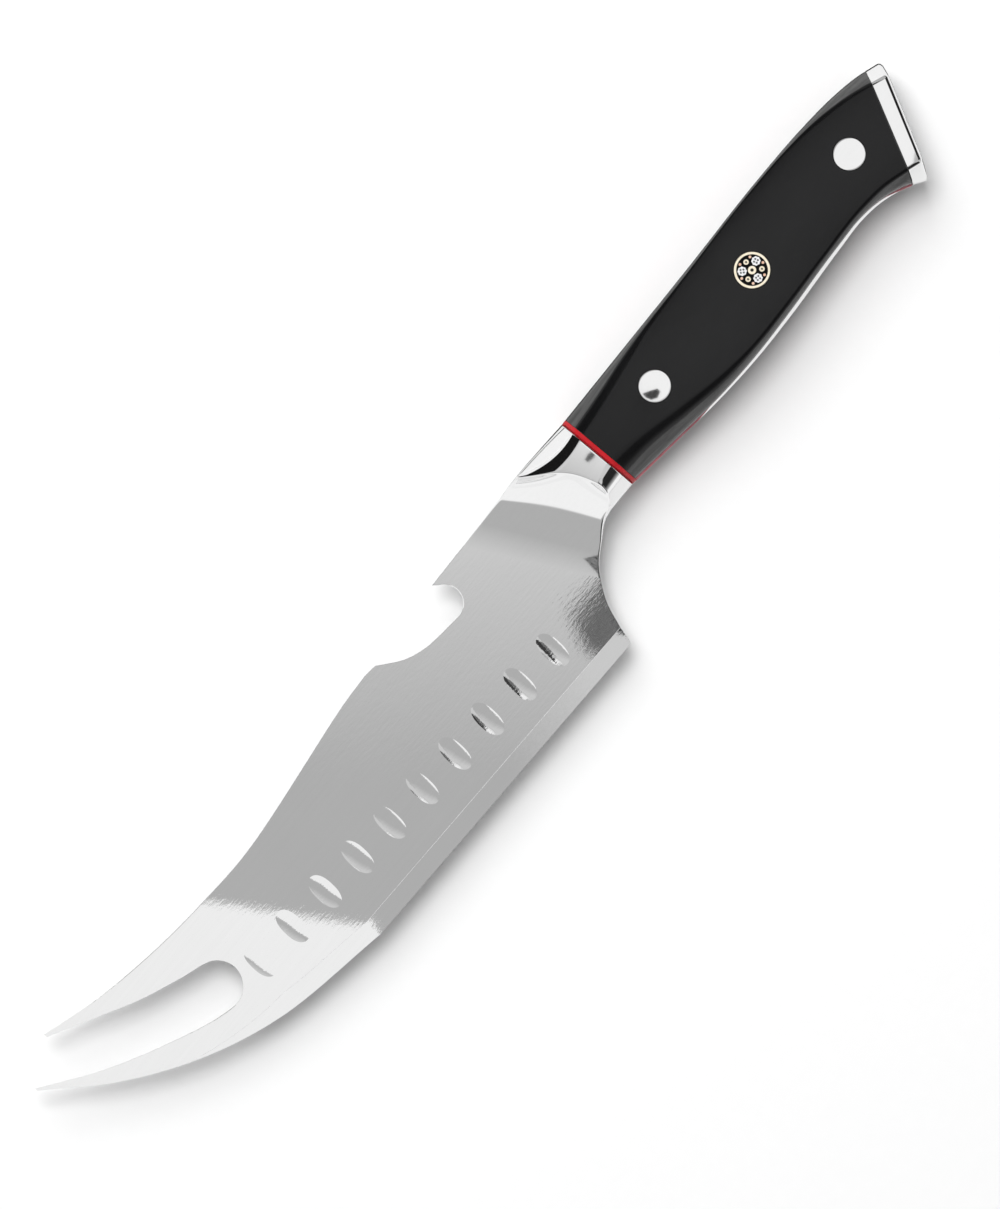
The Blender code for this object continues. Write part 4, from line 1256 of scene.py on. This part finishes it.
# Each card's height over the blade, glow, corners as pixels of the picture and, for one, its mottling
CARDS = {
    "fork_card": (0.036, 1.05, (
        (-60, 862), (205, 900), (378, 927), (392, 929), (450, 1008), (546, 1092), (560, 1500), (-60, 1500))),
    "root_panel": (ROOT_PANEL_HEIGHT, ROOT_PANEL_GLOW, (
        (150, 540), (640, 540), (805, 866), (1135, 1143), (1400, 1000), (1400, 300), (450, 300))),
    "root_fade": (ROOT_PANEL_HEIGHT, (CEILING_GLOW, CEILING_GLOW, ROOT_PANEL_GLOW, ROOT_PANEL_GLOW), (
        (150, 770), (700, 770), (640, 540), (150, 540))),
    "bevel_fade": (ROOT_PANEL_HEIGHT, (ROOT_PANEL_GLOW, ROOT_PANEL_GLOW, CEILING_GLOW, CEILING_GLOW), (
        (805, 866), (1135, 1143), (1051, 1243), (721, 966))),
    "handle_panel": (HANDLE_PANEL_HEIGHT, HANDLE_PANEL_GLOW, (
        (598, 347), (708, 426), (765, 360), (828, 276), (888, 212), (932, 212), (968, 150), (915, 25),
        (868, 30))),
    "panel_front": (HANDLE_PANEL_HEIGHT, (1.0, 0.84, HANDLE_PANEL_GLOW, HANDLE_PANEL_GLOW), (
        (527, 396), (629, 481), (708, 426), (598, 347))),
    "panel_end": (HANDLE_PANEL_HEIGHT, (0.62, 0.46, 0.84, 1.0), (
        (491, 438), (593, 524), (629, 481), (527, 396))),
    "heel_flag": (FLAG_HEIGHT, 0.185, (
        (606, 572), (594, 588), (571, 615), (586, 655), (632, 664), (760, 694), (700, 600), (632, 497)
    ), 0.15),
    "lens_flag": (0.058, 0.05, LENS_FLAG),
    "choil_flag": (0.022, 0.05, LENS_FLAG),
    "belly_flag": (SIDE_FLAG_HEIGHT, 0.02, (
        (632, 497), (692, 448), (767, 371), (854, 258), (893, 214), (928, 188), (1007, 255), (711, 564))),
    "belly_fade": (SIDE_FLAG_HEIGHT, (0.02, 0.02, CEILING_GLOW, CEILING_GLOW), (
        (711, 564), (1007, 255), (1104, 335), (808, 644))),
    "spine_flag": (SIDE_FLAG_HEIGHT, 0.01, (
        (502, 495), (561, 425), (688, 268), (801, 130), (876, 66), (602, -164), (228, 265))),
    "butt_flag": (FLAG_HEIGHT, 0.02, (
        (890, 20), (955, 190), (1400, 30), (1250, -400))),
    "rivet_flag": (FLAG_HEIGHT, 0.05, (
        (631, 402), (647, 396), (658, 393), (663, 398), (658, 409), (647, 413), (638, 409))),
    "saddle_flag": (FLAG_HEIGHT, 0.1, (
        (584, 461), (587, 464), (593, 459), (595, 455), (590, 453), (587, 456))),
    "near_strip": (STRIP_HEIGHT, 0.05, (
        (498, 492), (557, 422), (684, 265), (797, 127), (868, 60), (889, 56), (933, 176), (987, 155),
        (943, 35), (905, -5), (840, 10), (752, 89), (639, 227), (512, 384), (453, 454))),
    "far_strip": (STRIP_HEIGHT, 0.2, (
        (344, 362), (403, 292), (530, 135), (643, -3), (718, -67), (577, -185), (502, -121), (389, 17),
        (262, 174), (203, 244))),
}

soft_light("high_light", in_picture(right=-0.21, up=0.363, height=1.5), size=0.66, share=0.47)
soft_light("low_light", in_picture(right=-0.52, up=0.90, height=1.23), size=1.1, share=0.29)
for card_name, layout in CARDS.items():
    card(card_name, *layout)

# What the steel mirrors round the knife: a grey ceiling with a dark gap past the butt and a white card past
# the tip, each from where it begins to where it is full, and pale walls down to the floor
LOWEST_SIGHT = 0.03
BUTT_GAP = (1.15, 1.35)
BUTT_GAP_GLOW = 0.05
TIP_CARD = (0.70, 0.76)
TIP_CARD_ALONG = -0.924
TIP_CARD_ACROSS = 0.382
WALL_TOP = (0.36, 0.24)
WHITE_GLOW = 1.10
FLOOR_FILL = 0.38


def studio(nodes):
    """The studio round the knife: white for the camera, a dim fill for the floor, more for reflections."""
    nodes.tree.nodes.clear()

    # Places on a level ceiling: along the knife towards the butt, and across it towards the spine
    direction = nodes.add("ShaderNodeTexCoord").outputs["Generated"]
    sight = nodes.add("ShaderNodeSeparateXYZ", Vector=direction).outputs
    level = nodes.math("MAXIMUM", sight["Z"], LOWEST_SIGHT)
    along = nodes.math("DIVIDE", sight["X"], level)
    across = nodes.math("DIVIDE", sight["Y"], level)
    past_tip = nodes.math("MULTIPLY", along, TIP_CARD_ALONG)
    past_tip = nodes.math("MULTIPLY_ADD", across, TIP_CARD_ACROSS, past_tip)

    glow = nodes.mix(nodes.step(along, BUTT_GAP), CEILING_GLOW, BUTT_GAP_GLOW)
    glow = nodes.mix(nodes.step(past_tip, TIP_CARD), glow, WHITE_GLOW)
    glow = nodes.mix(nodes.step(sight["Z"], WALL_TOP), glow, WHITE_GLOW)
    path = nodes.add("ShaderNodeLightPath").outputs
    glow = nodes.mix(path["Is Glossy Ray"], 1.0, glow)
    glow = nodes.mix(path["Is Diffuse Ray"], glow, FLOOR_FILL)
    background = nodes.add("ShaderNodeBackground", Color=(1.0, 1.0, 1.0, 1.0), Strength=glow)
    nodes.add("ShaderNodeOutputWorld", Surface=background.outputs["Background"])


world = bpy.data.worlds.new("studio")
bpy.context.scene.world = world
world.use_nodes = True
studio(Nodes(world.node_tree))
bpy.context.scene.view_settings.view_transform = "Standard"
